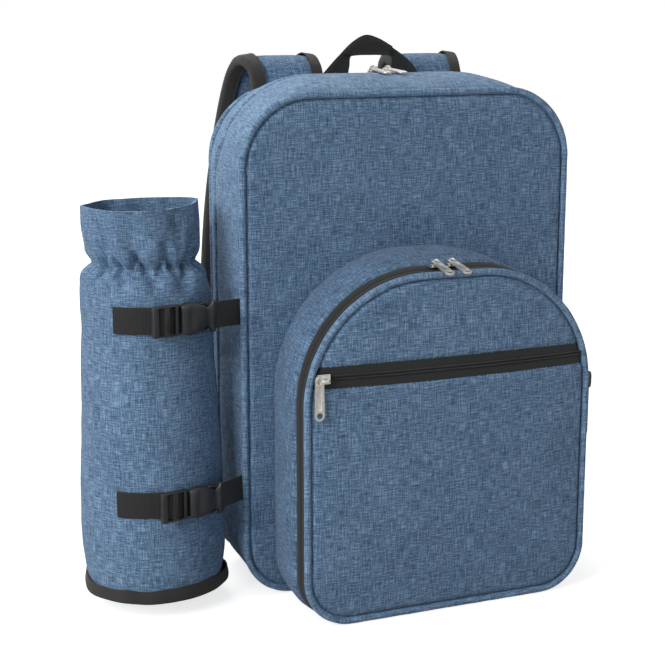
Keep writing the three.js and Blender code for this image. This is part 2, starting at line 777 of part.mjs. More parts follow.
function plugGeometry() {
  return slottedFrame(plugLength, plugHalfHeight, plugThickness, sleeveWebWidth / 2);
}

// Shoulder strap in its own measures: across its width, along its table, and above its middle face
function strapPoint(side, row, across, above) {
  const index = strapSections.indexOf(row);
  const before = strapCentre(side, strapSections[Math.max(index - 1, 0)]);
  const after = strapCentre(side, strapSections[Math.min(index + 1, strapSections.length - 1)]);
  const along = after.sub(before).normalize();
  const wide = new THREE.Vector3(1, 0, 0);
  const outwards = new THREE.Vector3().crossVectors(along, wide).normalize();
  const widthways = new THREE.Vector3().crossVectors(outwards, along).normalize();
  return strapCentre(side, row).addScaledVector(widthways, across).addScaledVector(outwards, above).toArray();
}

function strapCentre(side, row) {
  const seatY = backFaceY + gap + strapThickness / 2;
  return new THREE.Vector3(
    side * (strapInset + strapSpread * row.spread),
    seatY + strapReach * row.reach,
    strapRise * row.rise,
  );
}

function buildStrap(suffix, side) {
  const halfThick = strapThickness / 2;
  const soft = halfThick / 2;
  const padRings = strapSections.map((row, index) => {
    const half = (strapWidth * row.width) / 2 - strapBinding - gap;
    const short = index === strapSections.length - 1 ? strapBinding : 0;
    return { row, half, short };
  });
  const rings = padRings.map(({ row, half, short }) => [
    [-half, -halfThick], [half, -halfThick], [half, halfThick], [-half, halfThick],
  ].map(([across, above]) => shifted(strapPoint(side, row, across, above), side, row, short + (short > 0 ? gap : 0))));
  addPiece(`strap_pad_${suffix}`, skin(rings, false), 'fabric');
  const edgeRings = [];
  const edge = (row, across, inner, short) => {
    const sections = [
      [across, soft], [inner, halfThick], [inner, -halfThick], [across, -soft],
    ];
    edgeRings.push(sections.map(([u, above]) => shifted(strapPoint(side, row, u, above), side, row,
      u === inner ? short : 0)));
  };
  const last = strapSections.length - 1;
  strapSections.forEach((row, index) => {
    const half = (strapWidth * row.width) / 2;
    edge(row, -half, -half + strapBinding, index === last ? strapBinding : 0);
  });
  [...strapSections].reverse().forEach((row, index) => {
    const half = (strapWidth * row.width) / 2;
    edge(row, half, half - strapBinding, index === 0 ? strapBinding : 0);
  });
  addPiece(`strap_binding_${suffix}`, skin(edgeRings, false), 'binding');
}

// Moves a point of the strap's end back up along the strap
function shifted(point, side, row, amount) {
  if (amount === 0) {
    return point;
  }
  const index = strapSections.indexOf(row);
  const along = strapCentre(side, row).sub(strapCentre(side, strapSections[index - 1])).normalize();
  return new THREE.Vector3(...point).addScaledVector(along, -amount).toArray();
}

// Webbing from the pad's end down to a tab on the back panel, with a slotted adjuster over it
function buildStrapEnd(suffix, side) {
  const last = strapSections[strapSections.length - 1];
  const halfWeb = strapWebWidth / 2;
  const halfThick = webThickness / 2;
  const tabX = side * anchorInset;
  const tabTop = anchorHeight + anchorSize;
  const webY = backFaceY + 2 * gap + clothWall + halfThick;
  const corners = [[-halfWeb, halfThick], [halfWeb, halfThick], [halfWeb, -halfThick], [-halfWeb, -halfThick]];
  const atStrap = corners.map(([u, above]) => shifted(strapPoint(side, last, u, above), side, last, -gap));
  const atTab = (z) => corners.map(([u, above]) => [tabX + u, webY - above, z]);
  const rings = [atStrap, atTab(tabTop), atTab(anchorHeight)];
  addPiece(`strap_webbing_${suffix}`, skin(rings, false), 'webbing');

  const tab = new THREE.BoxGeometry(anchorSize, clothWall, anchorSize);
  const tabMesh = addPiece(`strap_anchor_${suffix}`, tab, 'fabric');
  tabMesh.position.set(tabX, backFaceY + gap + clothWall / 2, anchorHeight + anchorSize / 2);

  const start = strapCentre(side, last);
  const along = new THREE.Vector3(tabX, webY, tabTop).sub(start).normalize();
  const outwards = new THREE.Vector3().crossVectors(along, new THREE.Vector3(-1, 0, 0)).normalize();
  const widthways = new THREE.Vector3().crossVectors(outwards, along);
  const frame = slottedFrame(adjusterLength, halfWeb + adjusterRim, adjusterThickness, halfWeb);
  const adjuster = addPiece(`strap_adjuster_${suffix}`, frame, 'plastic');
  adjuster.setRotationFromMatrix(new THREE.Matrix4().makeBasis(along, widthways, outwards));
  adjuster.position.copy(start).addScaledVector(along, adjusterDrop).addScaledVector(outwards, halfThick + gap);
}

// Point on the mesh pocket: along its width, up its height and out through its wall
function meshPoint(across, up, outwards) {
  const y = mix(pocketFrontY + pipeRadius + pocketZipWidth + meshEdgeMargin, pocketRearY - meshEdgeMargin, across);
  const fullness = Math.sin(Math.PI * across) * Math.min(1, meshFullness * Math.sin((Math.PI / 2) * up));
  return [pocketShapeAt(y).half + gap + meshBulge * fullness + outwards, y, meshFloor + meshHeight * up];
}

// Net: one cut-through opening in every cell of a grid, in a wall that bulges from the gusset
function buildMeshPocket() {
  const points = [];
  const faces = [];
  const add = (across, up, outwards) => points.push(meshPoint(across, up, outwards)) - 1;
  const grid = [];
  for (let row = 0; row <= meshRows; row += 1) {
    for (let column = 0; column <= meshColumns; column += 1) {
      const [u, v] = [column / meshColumns, row / meshRows];
      grid.push([add(u, v, 0), add(u, v, meshWall)]);
    }
  }
  const quad = (a, b, c, d) => faces.push(a, b, c, a, c, d);
  const wide = meshColumns + 1;
  for (let row = 0; row < meshRows; row += 1) {
    for (let column = 0; column < meshColumns; column += 1) {
      const outer = [[0, 0], [1, 0], [1, 1], [0, 1]].map(([i, j]) => grid[(row + j) * wide + column + i]);
      const inner = [[0, 0], [1, 0], [1, 1], [0, 1]].map(([i, j]) => {
        const u = (column + mix(meshCord, 1 - meshCord, i)) / meshColumns;
        const v = (row + mix(meshCord, 1 - meshCord, j)) / meshRows;
        return [add(u, v, 0), add(u, v, meshWall)];
      });
      for (let k = 0; k < 4; k += 1) {
        const n = (k + 1) % 4;
        quad(outer[k][1], outer[n][1], inner[n][1], inner[k][1]);
        quad(outer[n][0], outer[k][0], inner[k][0], inner[n][0]);
        quad(inner[k][1], inner[n][1], inner[n][0], inner[k][0]);
      }
    }
  }
  const rim = [];
  for (let i = 0; i < meshColumns; i += 1) rim.push(grid[i]);
  for (let j = 0; j < meshRows; j += 1) rim.push(grid[j * wide + meshColumns]);
  for (let i = meshColumns; i > 0; i -= 1) rim.push(grid[meshRows * wide + i]);
  for (let j = meshRows; j > 0; j -= 1) rim.push(grid[j * wide]);
  rim.forEach(([low, high], k) => {
    const [nextLow, nextHigh] = rim[(k + 1) % rim.length];
    quad(low, nextLow, nextHigh, high);
  });
  addPiece('mesh_pocket', solid(points, faces), 'net');
  const rings = [];
  const hemLow = 1 + gap / meshHeight;
  const hemHigh = hemLow + meshHemHeight / meshHeight;
  const hemSteps = 2 * meshColumns;
  for (let i = 0; i <= hemSteps; i += 1) {
    const u = i / hemSteps;
    rings.push([
      meshPoint(u, hemLow, 0), meshPoint(u, hemLow, webThickness),
      meshPoint(u, hemHigh, webThickness), meshPoint(u, hemHigh, 0),
    ]);
  }
  addPiece('mesh_hem', skin(rings, false), 'webbing');
}

buildBody();
buildPocket();
buildZips();
buildHandle();
buildSleeve();
buildSleeveStrap('upper', upperStrapHeight);
buildSleeveStrap('lower', lowerStrapHeight);
for (const [suffix, side] of [['left', -1], ['right', 1]]) {
  buildStrap(suffix, side);
  buildStrapEnd(suffix, side);
}
buildMeshPocket();

export default backpack;
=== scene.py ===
# %% [markdown]
# A cooler backpack of heather cloth, with an arched front pocket, two padded shoulder straps, a grab handle and
# a bottle sleeve buckled to its side. The hard frame of sizes comes from the imported model; this lesson makes
# every visible piece again as cloth, webbing, zip, plastic or metal, each in the space of the solid it stands for.
# The imported model is loaded first; each of its solids is hidden once a dressed piece stands for it.

# %% The imported model
import bpy
import math
import numpy as np
from mathutils import Matrix, Vector, noise


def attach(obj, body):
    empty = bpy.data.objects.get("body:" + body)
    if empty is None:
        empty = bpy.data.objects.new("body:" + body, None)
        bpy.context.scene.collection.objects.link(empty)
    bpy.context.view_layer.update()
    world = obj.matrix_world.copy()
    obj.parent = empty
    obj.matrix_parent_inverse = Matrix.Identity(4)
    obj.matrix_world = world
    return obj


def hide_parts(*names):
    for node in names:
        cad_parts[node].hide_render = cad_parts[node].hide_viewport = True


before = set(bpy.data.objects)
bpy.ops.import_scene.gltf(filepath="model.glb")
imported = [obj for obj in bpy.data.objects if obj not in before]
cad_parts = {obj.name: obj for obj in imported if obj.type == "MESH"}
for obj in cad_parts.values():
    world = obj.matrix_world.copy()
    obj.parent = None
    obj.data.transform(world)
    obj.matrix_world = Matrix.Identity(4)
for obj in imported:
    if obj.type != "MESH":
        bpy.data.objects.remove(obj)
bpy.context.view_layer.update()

# %% [markdown]
# The camera stands a little to the bag's sleeve side and looks slightly down. A focal length of 1500 pixels on a
# frame of 665 gives the flat perspective of a product photograph. The floor is a plain pale sheet that fades into
# the light, so the bag stands on white with only a soft shadow at its foot.

# %% Camera
MM = 0.001
IMAGE_PIXELS = 665
FOCAL_PIXELS = 1500.0
SENSOR_MM = 36.0
CAMERA_PLACE = Vector((-0.498, -1.094, 0.459))
CAMERA_YAW = math.radians(22.44)
CAMERA_PITCH = math.radians(12.48)


def add_camera():
    bpy.ops.object.camera_add(location=CAMERA_PLACE)
    camera = bpy.context.object
    camera.name = "photo_camera"
    camera.data.sensor_width = SENSOR_MM
    camera.data.lens = FOCAL_PIXELS / IMAGE_PIXELS * SENSOR_MM
    camera.data.clip_end = 2000
    looking = Vector((
        math.sin(CAMERA_YAW) * math.cos(CAMERA_PITCH),
        math.cos(CAMERA_YAW) * math.cos(CAMERA_PITCH),
        -math.sin(CAMERA_PITCH),
    ))
    camera.rotation_mode = "QUATERNION"
    camera.rotation_quaternion = looking.to_track_quat("-Z", "Y")
    bpy.context.scene.camera = camera
    return camera


camera = add_camera()
print("lens:", round(camera.data.lens, 1), "mm")

# %% Floor and lights
FLOOR_SIZE = 900.0
FLOOR_GLOW = 0.752
WORLD_WHITE = 0.50


def add_light(name, place, aim, size, watts):
    bpy.ops.object.light_add(type="AREA", location=place)
    light = bpy.context.object
    light.name = name
    light.data.size = size
    light.data.energy = watts
    light.rotation_mode = "QUATERNION"
    light.rotation_quaternion = (Vector(aim) - Vector(place)).to_track_quat("-Z", "Y")
    return light


def add_studio():
    bpy.ops.mesh.primitive_plane_add(size=FLOOR_SIZE, location=(0, 0, 0))
    floor = bpy.context.object
    floor.name = "studio_floor"
    world = bpy.data.worlds.new("studio_white")
    world.use_nodes = True
    tree = world.node_tree
    back = tree.nodes["Background"]
    back.inputs["Strength"].default_value = WORLD_WHITE
    direction = tree.nodes.new("ShaderNodeTexCoord")
    split = tree.nodes.new("ShaderNodeSeparateXYZ")
    shades = tree.nodes.new("ShaderNodeValToRGB")
    shades.color_ramp.elements[0].position = 0.0
    shades.color_ramp.elements[0].color = (0.50, 0.51, 0.52, 1.0)
    shades.color_ramp.elements[1].position = 0.8
    shades.color_ramp.elements[1].color = (1.0, 1.0, 1.0, 1.0)
    tree.links.new(direction.outputs["Generated"], split.inputs["Vector"])
    tree.links.new(split.outputs["Z"], shades.inputs["Fac"])
    tree.links.new(shades.outputs["Color"], back.inputs["Color"])
    seen = tree.nodes.new("ShaderNodeBackground")
    sight = tree.nodes.new("ShaderNodeLightPath")
    blend = tree.nodes.new("ShaderNodeMixShader")
    seen.inputs["Color"].default_value = (1.0, 1.0, 1.0, 1.0)
    bare = tree.nodes.new("ShaderNodeMath")
    bare.operation = "MAXIMUM"
    tree.links.new(sight.outputs["Is Camera Ray"], bare.inputs[0])
    tree.links.new(sight.outputs["Is Glossy Ray"], bare.inputs[1])
    tree.links.new(bare.outputs[0], blend.inputs[0])
    tree.links.new(back.outputs["Background"], blend.inputs[1])
    tree.links.new(seen.outputs["Background"], blend.inputs[2])
    tree.links.new(blend.outputs["Shader"], tree.nodes["World Output"].inputs["Surface"])
    bpy.context.scene.world = world
    bpy.context.scene.view_settings.view_transform = "Standard"
    add_light("key_left", (-2.1, -1.0, 1.35), (0, 0, 0.2), 1.2, 44)
    add_light("top_back", (-0.4, 1.7, 2.0), (0, 0, 0.3), 1.4, 36)
    return floor


floor = add_studio()
print("stage ready")

# %% [markdown]
# Cloth on a bag is a sheet bent to a form, so most pieces here start as a grid and every point of it is moved to
# a place worked out from two shares, one across the sheet and one along it. The same function gives the flat
# place of each point in metres, which becomes the UV map, so the weave keeps its real scale round every bend.
# Solidify then gives the sheet its thickness.

# %% Helpers for sheets
def deselect():
    if bpy.context.object and bpy.context.object.mode != "OBJECT":
        bpy.ops.object.mode_set(mode="OBJECT")
    bpy.ops.object.select_all(action="DESELECT")


def make_active(piece):
    deselect()
    piece.select_set(True)
    bpy.context.view_layer.objects.active = piece


def apply_modifier(piece, kind, **settings):
    make_active(piece)
    modifier = piece.modifiers.new(kind.lower(), kind)
    for key, value in settings.items():
        setattr(modifier, key, value)
    bpy.ops.object.modifier_apply(modifier=modifier.name)
    return piece


def edit_all(piece, *steps):
    """Runs edit-mode operators on the whole mesh of a piece."""
    make_active(piece)
    bpy.ops.object.mode_set(mode="EDIT")
    bpy.ops.mesh.select_all(action="SELECT")
    for step, settings in steps:
        step(**settings)
    bpy.ops.object.mode_set(mode="OBJECT")
    return piece


def face_outwards(piece, inside=False):
    return edit_all(piece, (bpy.ops.mesh.normals_make_consistent, {"inside": inside}))


def shaped_grid(name, across, along, place, flat, merge=0.00001):
    """A grid whose points go to place(u, v), with its UV at flat(u, v) in metres."""
    deselect()
    bpy.ops.mesh.primitive_grid_add(x_subdivisions=across, y_subdivisions=along, size=2)
    piece = bpy.context.object
    piece.name = name
    mesh = piece.data
    mesh.name = name
    shares = [((v.co.x + 1) / 2, (v.co.y + 1) / 2) for v in mesh.vertices]
    uv = mesh.uv_layers.active.data
    flats = [flat(u, v) for u, v in shares]
    for loop in mesh.loops:
        uv[loop.index].uv = flats[loop.vertex_index]
    for vertex, (u, v) in zip(mesh.vertices, shares):
        vertex.co = place(u, v)
    edit_all(piece, (bpy.ops.mesh.remove_doubles, {"threshold": merge}))
    return piece


def finish_sheet(piece, wall, outward, levels=0):
    """Turns a sheet's faces towards outward(centre), gives it a wall inwards and smooths it."""
    mesh = piece.data
    score = sum(p.normal.dot(outward(p.center)) * p.area for p in mesh.polygons)
    if score < 0:
        edit_all(piece, (bpy.ops.mesh.flip_normals, {}))
    if wall > 0:
        apply_modifier(piece, "SOLIDIFY", thickness=wall, offset=-1.0)
    if levels:
        apply_modifier(piece, "SUBSURF", levels=levels, render_levels=levels)
    smooth(piece)
    return piece


def smooth(piece, angle=50):
    make_active(piece)
    bpy.ops.object.shade_smooth_by_angle(angle=math.radians(angle))


def dress(piece, material, slot, *nodes):
    """Gives a piece its material, its body and the solids that it stands for; slot is not used."""
    piece.data.materials.clear()
    piece.data.materials.append(material)
    if nodes:
        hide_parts(*nodes)
    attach(piece, "root")
    return piece


print("sheet helpers ready")

# %% [markdown]
# The bag's cloth is a heather polyester: light and dark blue yarns cross at right angles, and thick and thin
# places in each yarn show as short streaks. Two stretched noises make the streaks, one each way, and a fine sine
# weave gives the relief. It is a node group, because the panels, the gussets and the sleeve all use it; a raised
# Lightness is painted light on the gussets and pipings, and a lowered one is painted shade on the pocket's gusset.
# The webbing, binding and zip tape share a second group that draws ribs across a tape.

# %% Node helpers
def add_node(tree, kind, **settings):
    node = tree.nodes.new(kind)
    for key, value in settings.items():
        setattr(node, key, value)
    return node


def math_node(tree, operation, first, second):
    node = add_node(tree, "ShaderNodeMath", operation=operation)
    for socket, value in zip(node.inputs, (first, second)):
        if isinstance(value, (int, float)):
            socket.default_value = value
        elif value is not None:
            tree.links.new(value, socket)
    return node.outputs[0]


def stretched_noise(tree, vector, scale, detail=2.0, roughness=0.6):
    mapping = add_node(tree, "ShaderNodeMapping")
    mapping.inputs["Scale"].default_value = scale
    tree.links.new(vector, mapping.inputs["Vector"])
    grain = add_node(tree, "ShaderNodeTexNoise")
    grain.inputs["Scale"].default_value = 1.0
    grain.inputs["Detail"].default_value = detail
    grain.inputs["Roughness"].default_value = roughness
    tree.links.new(mapping.outputs["Vector"], grain.inputs["Vector"])
    return grain.outputs["Fac"]


def ramp(tree, value, stops):
    node = add_node(tree, "ShaderNodeValToRGB")
    elements = node.color_ramp.elements
    while len(elements) < len(stops):
        elements.new(0.5)
    for element, (position, color) in zip(elements, stops):
        element.position = position
        element.color = (*color, 1.0)
    tree.links.new(value, node.inputs["Fac"])
    return node.outputs["Color"]


def group_tree(name, inputs, outputs):
    tree = bpy.data.node_groups.new(name, "ShaderNodeTree")
    for label, kind in inputs:
        tree.interface.new_socket(label, in_out="INPUT", socket_type=kind)
    for label, kind in outputs:
        tree.interface.new_socket(label, in_out="OUTPUT", socket_type=kind)
    return tree, tree.nodes.new("NodeGroupInput"), tree.nodes.new("NodeGroupOutput")


# %% Heather weave group
YARN_PITCH = 0.0011
HEATHER_STOPS = [
    (0.30, (0.046, 0.080, 0.144)),
    (0.44, (0.088, 0.156, 0.260)),
    (0.55, (0.142, 0.240, 0.375)),
    (0.72, (0.275, 0.425, 0.600)),
]


def build_heather_group():
    inputs = [("Vector", "NodeSocketVector"), ("Lightness", "NodeSocketFloat")]
    outputs = [("Color", "NodeSocketColor"), ("Height", "NodeSocketFloat")]
    tree, source, sink = group_tree("heather_weave", inputs, outputs)
    vector = source.outputs["Vector"]
    weft = stretched_noise(tree, vector, (105.0, 1150.0, 1.0), 2.0, 0.6)
    warp = stretched_noise(tree, vector, (1150.0, 85.0, 1.0), 2.0, 0.6)
    fleck = stretched_noise(tree, vector, (950.0, 900.0, 1.0), 2.0, 0.7)
    cloud = stretched_noise(tree, vector, (26.0, 30.0, 1.0), 2.0, 0.5)
    weft_part, warp_part = math_node(tree, "MULTIPLY", weft, 0.36), math_node(tree, "MULTIPLY", warp, 0.32)
    yarns = math_node(tree, "ADD", weft_part, warp_part)
    mixed = math_node(tree, "ADD", yarns, math_node(tree, "MULTIPLY", fleck, 0.26))
    mixed = math_node(tree, "ADD", mixed, math_node(tree, "MULTIPLY", cloud, 0.06))
    spread = math_node(tree, "MULTIPLY_ADD", mixed, 2.0)
    spread.node.inputs[2].default_value = -0.50
    lifted = math_node(tree, "ADD", spread, source.outputs["Lightness"])
    tree.links.new(ramp(tree, lifted, HEATHER_STOPS), sink.inputs["Color"])
    split = add_node(tree, "ShaderNodeSeparateXYZ")
    tree.links.new(vector, split.inputs["Vector"])
    turns = 2 * math.pi / YARN_PITCH
    across = math_node(tree, "SINE", math_node(tree, "MULTIPLY", split.outputs["X"], turns), None)
    along = math_node(tree, "SINE", math_node(tree, "MULTIPLY", split.outputs["Y"], turns), None)
    weave = math_node(tree, "MULTIPLY", across, along)
    height = math_node(tree, "ADD", math_node(tree, "MULTIPLY", weave, 0.35), mixed)
    tree.links.new(height, sink.inputs["Height"])
    return tree


heather_group = build_heather_group()
print("group:", heather_group.name)


# %% Tape group
def build_tape_group():
    inputs = [("Vector", "NodeSocketVector"), ("Ribs", "NodeSocketFloat"), ("Light", "NodeSocketFloat")]
    outputs = [("Color", "NodeSocketColor"), ("Height", "NodeSocketFloat")]
    tree, source, sink = group_tree("tape_ribs", inputs, outputs)
    split = add_node(tree, "ShaderNodeSeparateXYZ")
    tree.links.new(source.outputs["Vector"], split.inputs["Vector"])
    turns = math_node(tree, "MULTIPLY", source.outputs["Ribs"], 2 * math.pi)
    rib = math_node(tree, "SINE", math_node(tree, "MULTIPLY", split.outputs["Y"], turns), None)
    cord = math_node(tree, "SINE", math_node(tree, "MULTIPLY", split.outputs["X"], turns), None)
    fuzz = stretched_noise(tree, source.outputs["Vector"], (900.0, 900.0, 1.0), 3.0, 0.7)
    rib_part, cord_part = math_node(tree, "MULTIPLY", rib, 0.35), math_node(tree, "MULTIPLY", cord, 0.15)
    relief = math_node(tree, "ADD", rib_part, cord_part)
    relief = math_node(tree, "ADD", relief, fuzz)
    tone = math_node(tree, "MULTIPLY_ADD", relief, 0.5)
    tone.node.inputs[2].default_value = 0.1
    shade = math_node(tree, "MULTIPLY", tone, source.outputs["Light"])
    color = add_node(tree, "ShaderNodeCombineColor")
    for channel in ("Red", "Green", "Blue"):
        tree.links.new(shade, color.inputs[channel])
    tree.links.new(color.outputs["Color"], sink.inputs["Color"])
    tree.links.new(relief, sink.inputs["Height"])
    return tree


tape_group = build_tape_group()
print("group:", tape_group.name)


# %% Materials
def start_material(name, roughness, metallic=0.0):
    material = bpy.data.materials.new(name)
    material.use_nodes = True
    tree = material.node_tree
    shader = tree.nodes["Principled BSDF"]
    shader.inputs["Roughness"].default_value = roughness
    shader.inputs["Metallic"].default_value = metallic
    return material, tree, shader


def uv_vector(tree):
    return add_node(tree, "ShaderNodeUVMap").outputs["UV"]


def object_vector(tree):
    return add_node(tree, "ShaderNodeTexCoord").outputs["Object"]


def bump(tree, shader, height, distance, strength=1.0):
    node = add_node(tree, "ShaderNodeBump")
    node.inputs["Distance"].default_value = distance
    node.inputs["Strength"].default_value = strength
    tree.links.new(height, node.inputs["Height"])
    tree.links.new(node.outputs["Normal"], shader.inputs["Normal"])


def heather_cloth(name, lightness):
    material, tree, shader = start_material(name, 0.88)
    weave = add_node(tree, "ShaderNodeGroup", node_tree=heather_group)
    tree.links.new(uv_vector(tree), weave.inputs["Vector"])
    weave.inputs["Lightness"].default_value = lightness
    tree.links.new(weave.outputs["Color"], shader.inputs["Base Color"])
    shader.inputs["Sheen Weight"].default_value = 0.08
    shader.inputs["Sheen Roughness"].default_value = 0.5
    shader.inputs["Specular IOR Level"].default_value = 0.25
    bump(tree, shader, weave.outputs["Height"], 0.00035, 0.9)
    return material


def tape_material(name, ribs, light, tint, roughness=0.8):
    material, tree, shader = start_material(name, roughness)
    tape = add_node(tree, "ShaderNodeGroup", node_tree=tape_group)
    tree.links.new(uv_vector(tree), tape.inputs["Vector"])
    tape.inputs["Ribs"].default_value = ribs
    tape.inputs["Light"].default_value = light
    dye = add_node(tree, "ShaderNodeMix", data_type="RGBA", blend_type="MULTIPLY")
    dye.inputs["Factor"].default_value = 1.0
    dye.inputs[7].default_value = (*tint, 1.0)
    tree.links.new(tape.outputs["Color"], dye.inputs[6])
    tree.links.new(dye.outputs[2], shader.inputs["Base Color"])
    shader.inputs["Sheen Weight"].default_value = 0.1
    bump(tree, shader, tape.outputs["Height"], 0.0003, 0.9)
    return material


def metal_material(name, dark, light, smoothest):
    material, tree, shader = start_material(name, 0.3, 1.0)
    vector = object_vector(tree)
    wear = stretched_noise(tree, vector, (400.0, 400.0, 400.0), 4.0, 0.6)
    scratch = stretched_noise(tree, vector, (2600.0, 300.0, 300.0), 2.0, 0.5)
    tree.links.new(ramp(tree, wear, [(0.3, dark), (0.7, light)]), shader.inputs["Base Color"])
    rough = math_node(tree, "MULTIPLY_ADD", scratch, 0.35)
    rough.node.inputs[2].default_value = smoothest
    tree.links.new(rough, shader.inputs["Roughness"])
    bump(tree, shader, wear, 0.00008)
    return material


def plastic_material(name, dark, light):
    material, tree, shader = start_material(name, 0.42)
    vector = object_vector(tree)
    grain = stretched_noise(tree, vector, (1500.0, 1500.0, 1500.0), 3.0, 0.6)
    smudge = stretched_noise(tree, vector, (90.0, 90.0, 90.0), 3.0, 0.6)
    tree.links.new(ramp(tree, smudge, [(0.3, dark), (0.7, light)]), shader.inputs["Base Color"])
    rough = math_node(tree, "MULTIPLY_ADD", smudge, 0.3)
    rough.node.inputs[2].default_value = 0.26
    tree.links.new(rough, shader.inputs["Roughness"])
    bump(tree, shader, grain, 0.00006)
    return material


cloth = heather_cloth("heather_cloth", 0.0)
# A lighter copy of the cloth is painted light: gussets, pipings and the pocket's base are brightened as if lit
# from above and the left.
cloth_painted_light = heather_cloth("heather_cloth_painted_light", 0.04)
# A darker copy of the cloth is painted shade: the pocket's gusset is darkened as if in the shadow of the main
# body.
cloth_painted_shade = heather_cloth("heather_cloth_painted_shade", -0.04)
webbing = tape_material("black_webbing", 640.0, 0.022, (0.95, 0.97, 1.0))
binding = tape_material("edge_binding", 900.0, 0.055, (1.0, 0.88, 0.80))
zip_tape = tape_material("zip_tape", 1300.0, 0.036, (0.95, 0.97, 1.0))
net_cord = tape_material("net_cord", 900.0, 0.05, (1.0, 1.0, 1.0))
nickel = metal_material("dark_nickel", (0.60, 0.57, 0.52), (0.82, 0.79, 0.73), 0.22)
bright_nickel = metal_material("bright_nickel", (0.88, 0.88, 0.88), (0.97, 0.97, 0.97), -0.06)
coil_plastic = plastic_material("coil_nylon", (0.010, 0.010, 0.011), (0.022, 0.022, 0.024))
acetal = plastic_material("black_acetal", (0.012, 0.012, 0.013), (0.026, 0.027, 0.030))
print("materials:", len(bpy.data.materials))


# %% Floor material
def floor_material():
    material, tree, shader = start_material("studio_white", 0.9)
    shade = stretched_noise(tree, object_vector(tree), (2.0, 2.0, 2.0), 1.0, 0.5)
    tones = [(0.0, (0.54, 0.54, 0.54)), (1.0, (0.56, 0.56, 0.56))]
    tree.links.new(ramp(tree, shade, tones), shader.inputs["Base Color"])
    shader.inputs["Specular IOR Level"].default_value = 0.05
    shader.inputs["Emission Color"].default_value = (1.0, 1.0, 1.0, 1.0)
    sight = add_node(tree, "ShaderNodeLightPath")
    glow = math_node(tree, "MULTIPLY", sight.outputs["Is Camera Ray"], FLOOR_GLOW)
    tree.links.new(glow, shader.inputs["Emission Strength"])
    return material


floor.data.materials.append(floor_material())
print("floor dressed")


# %% [markdown]
# Every wall of this bag follows a rounded outline: a flat base, two lower corners, straight sides, two upper
# corners and a top. One function walks that outline by share of its length and gives the place and the outward
# direction, so gussets, zips and pipings can all be laid along it and pushed in or out by a small amount.
# The tables are read with a smooth curve, because cloth under tension has no kinks between its seams.

# %% Outline and smooth tables
QUARTER = math.pi / 2


def smooth_table(stops, values):
    """A function that reads a table with a smooth curve through its rows."""
    slopes = [float(s) for s in np.gradient(np.array(values, float), np.array(stops, float))]

    def read(at):
        at = min(max(at, stops[0]), stops[-1])
        row = 0
        while row < len(stops) - 2 and stops[row + 1] < at:
            row += 1
        wide = stops[row + 1] - stops[row]
        t = (at - stops[row]) / wide
        start = (1 + 2 * t) * (1 - t) ** 2 * values[row] + t * (1 - t) ** 2 * wide * slopes[row]
        end = t * t * (3 - 2 * t) * values[row + 1] + t * t * (t - 1) * wide * slopes[row + 1]
        return start + end

    return read


def rim_runs(shape):
    half, top, bottom, high, low = shape
    return (half - low, low * QUARTER, top - bottom - low - high, high * QUARTER, half - high)


def rim_length(shape):
    return 2 * sum(rim_runs(shape))


def rim_at(shape, share):
    """Place and outward direction on an outline; shares 0 and 1 are the middle of its base, 0.5 of its top."""
    half, top, bottom, high, low = shape
    runs = rim_runs(shape)
    share = share % 1.0
    turned = share > 0.5
    walk = 2 * (1 - share if turned else share) * sum(runs)
    if walk <= runs[0]:
        x, z, nx, nz = walk, bottom, 0.0, -1.0
    elif walk <= sum(runs[:2]):
        angle = (walk - runs[0]) / low
        nx, nz = math.sin(angle), -math.cos(angle)
        x, z = half - low + low * nx, bottom + low + low * nz
    elif walk <= sum(runs[:3]):
        x, z, nx, nz = half, bottom + low + walk - sum(runs[:2]), 1.0, 0.0
    elif walk <= sum(runs[:4]):
        angle = (walk - sum(runs[:3])) / high
        nx, nz = math.cos(angle), math.sin(angle)
        x, z = half - high + high * nx, top - high + high * nz
    else:
        x, z, nx, nz = half - high - (walk - sum(runs[:4])), top, 0.0, 1.0
    return (-x, z, -nx, nz) if turned else (x, z, nx, nz)


def share_on_rim(shape, run, part):
    """The share of the outline's right side that ends some part of the way along one of its runs."""
    runs = rim_runs(shape)
    return (sum(runs[:run]) + runs[run] * part) / (2 * sum(runs))


def inset(shape, amount):
    half, top, bottom, high, low = shape
    return (half - amount, top - amount, bottom + amount, high - amount, low - amount)


def mix(a, b, share):
    return a + (b - a) * share


def hump(distance, width):
    return math.exp(-((distance / width) ** 2))


def ripple(x, y, z, size):
    """Soft unevenness between -1 and 1, with bumps about size millimetres apart."""
    return noise.noise(Vector((x / size, y / size, z / size)))


def at(x, y, z):
    return Vector((x * MM, y * MM, z * MM))


print("outline helpers ready")

# %% [markdown]
# The main body is a shallow box, 280 mm wide, 393 mm high and 90 mm deep. Its gusset swells a little between its
# two seams, has fuller corners there, and narrows a little to the back. Sizes and sections repeat those of the
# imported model, in millimetres.

# %% Shape of the main body
GAP = 0.3
PIPE = 2.75
WALL = 2.0
FRONT_Y, BACK_Y = -45.0, 45.0
BODY_DEPTH = BACK_Y - FRONT_Y
body_swell = smooth_table([0.0, 0.12, 0.34, 0.62, 0.84, 1.0], [0.0, 0.42, 0.84, 1.0, 0.72, 0.2])
body_narrow = smooth_table([0.0, 0.12, 0.34, 0.62, 0.84, 1.0], [0.0, 0.0, 0.08, 0.35, 0.7, 1.0])
FRONT_SEAM = (140 - PIPE, 393 - PIPE, PIPE + GAP, 57 - PIPE, 42 - PIPE)
BACK_SEAM = (134 - PIPE, 393 - PIPE, PIPE + GAP, 57 - PIPE, 42 - PIPE)


def body_shape(y):
    share = (y - FRONT_Y) / BODY_DEPTH
    swell = body_swell(share)
    half = 140 - PIPE + 5 * swell - 6 * body_narrow(share)
    return (half, 393 - PIPE + 13 * swell, 0.0, 57 - PIPE + 26 * swell, 42 - PIPE + 14 * swell)


print("body is", round(2 * body_shape(10)[0]), "mm wide at its fullest")

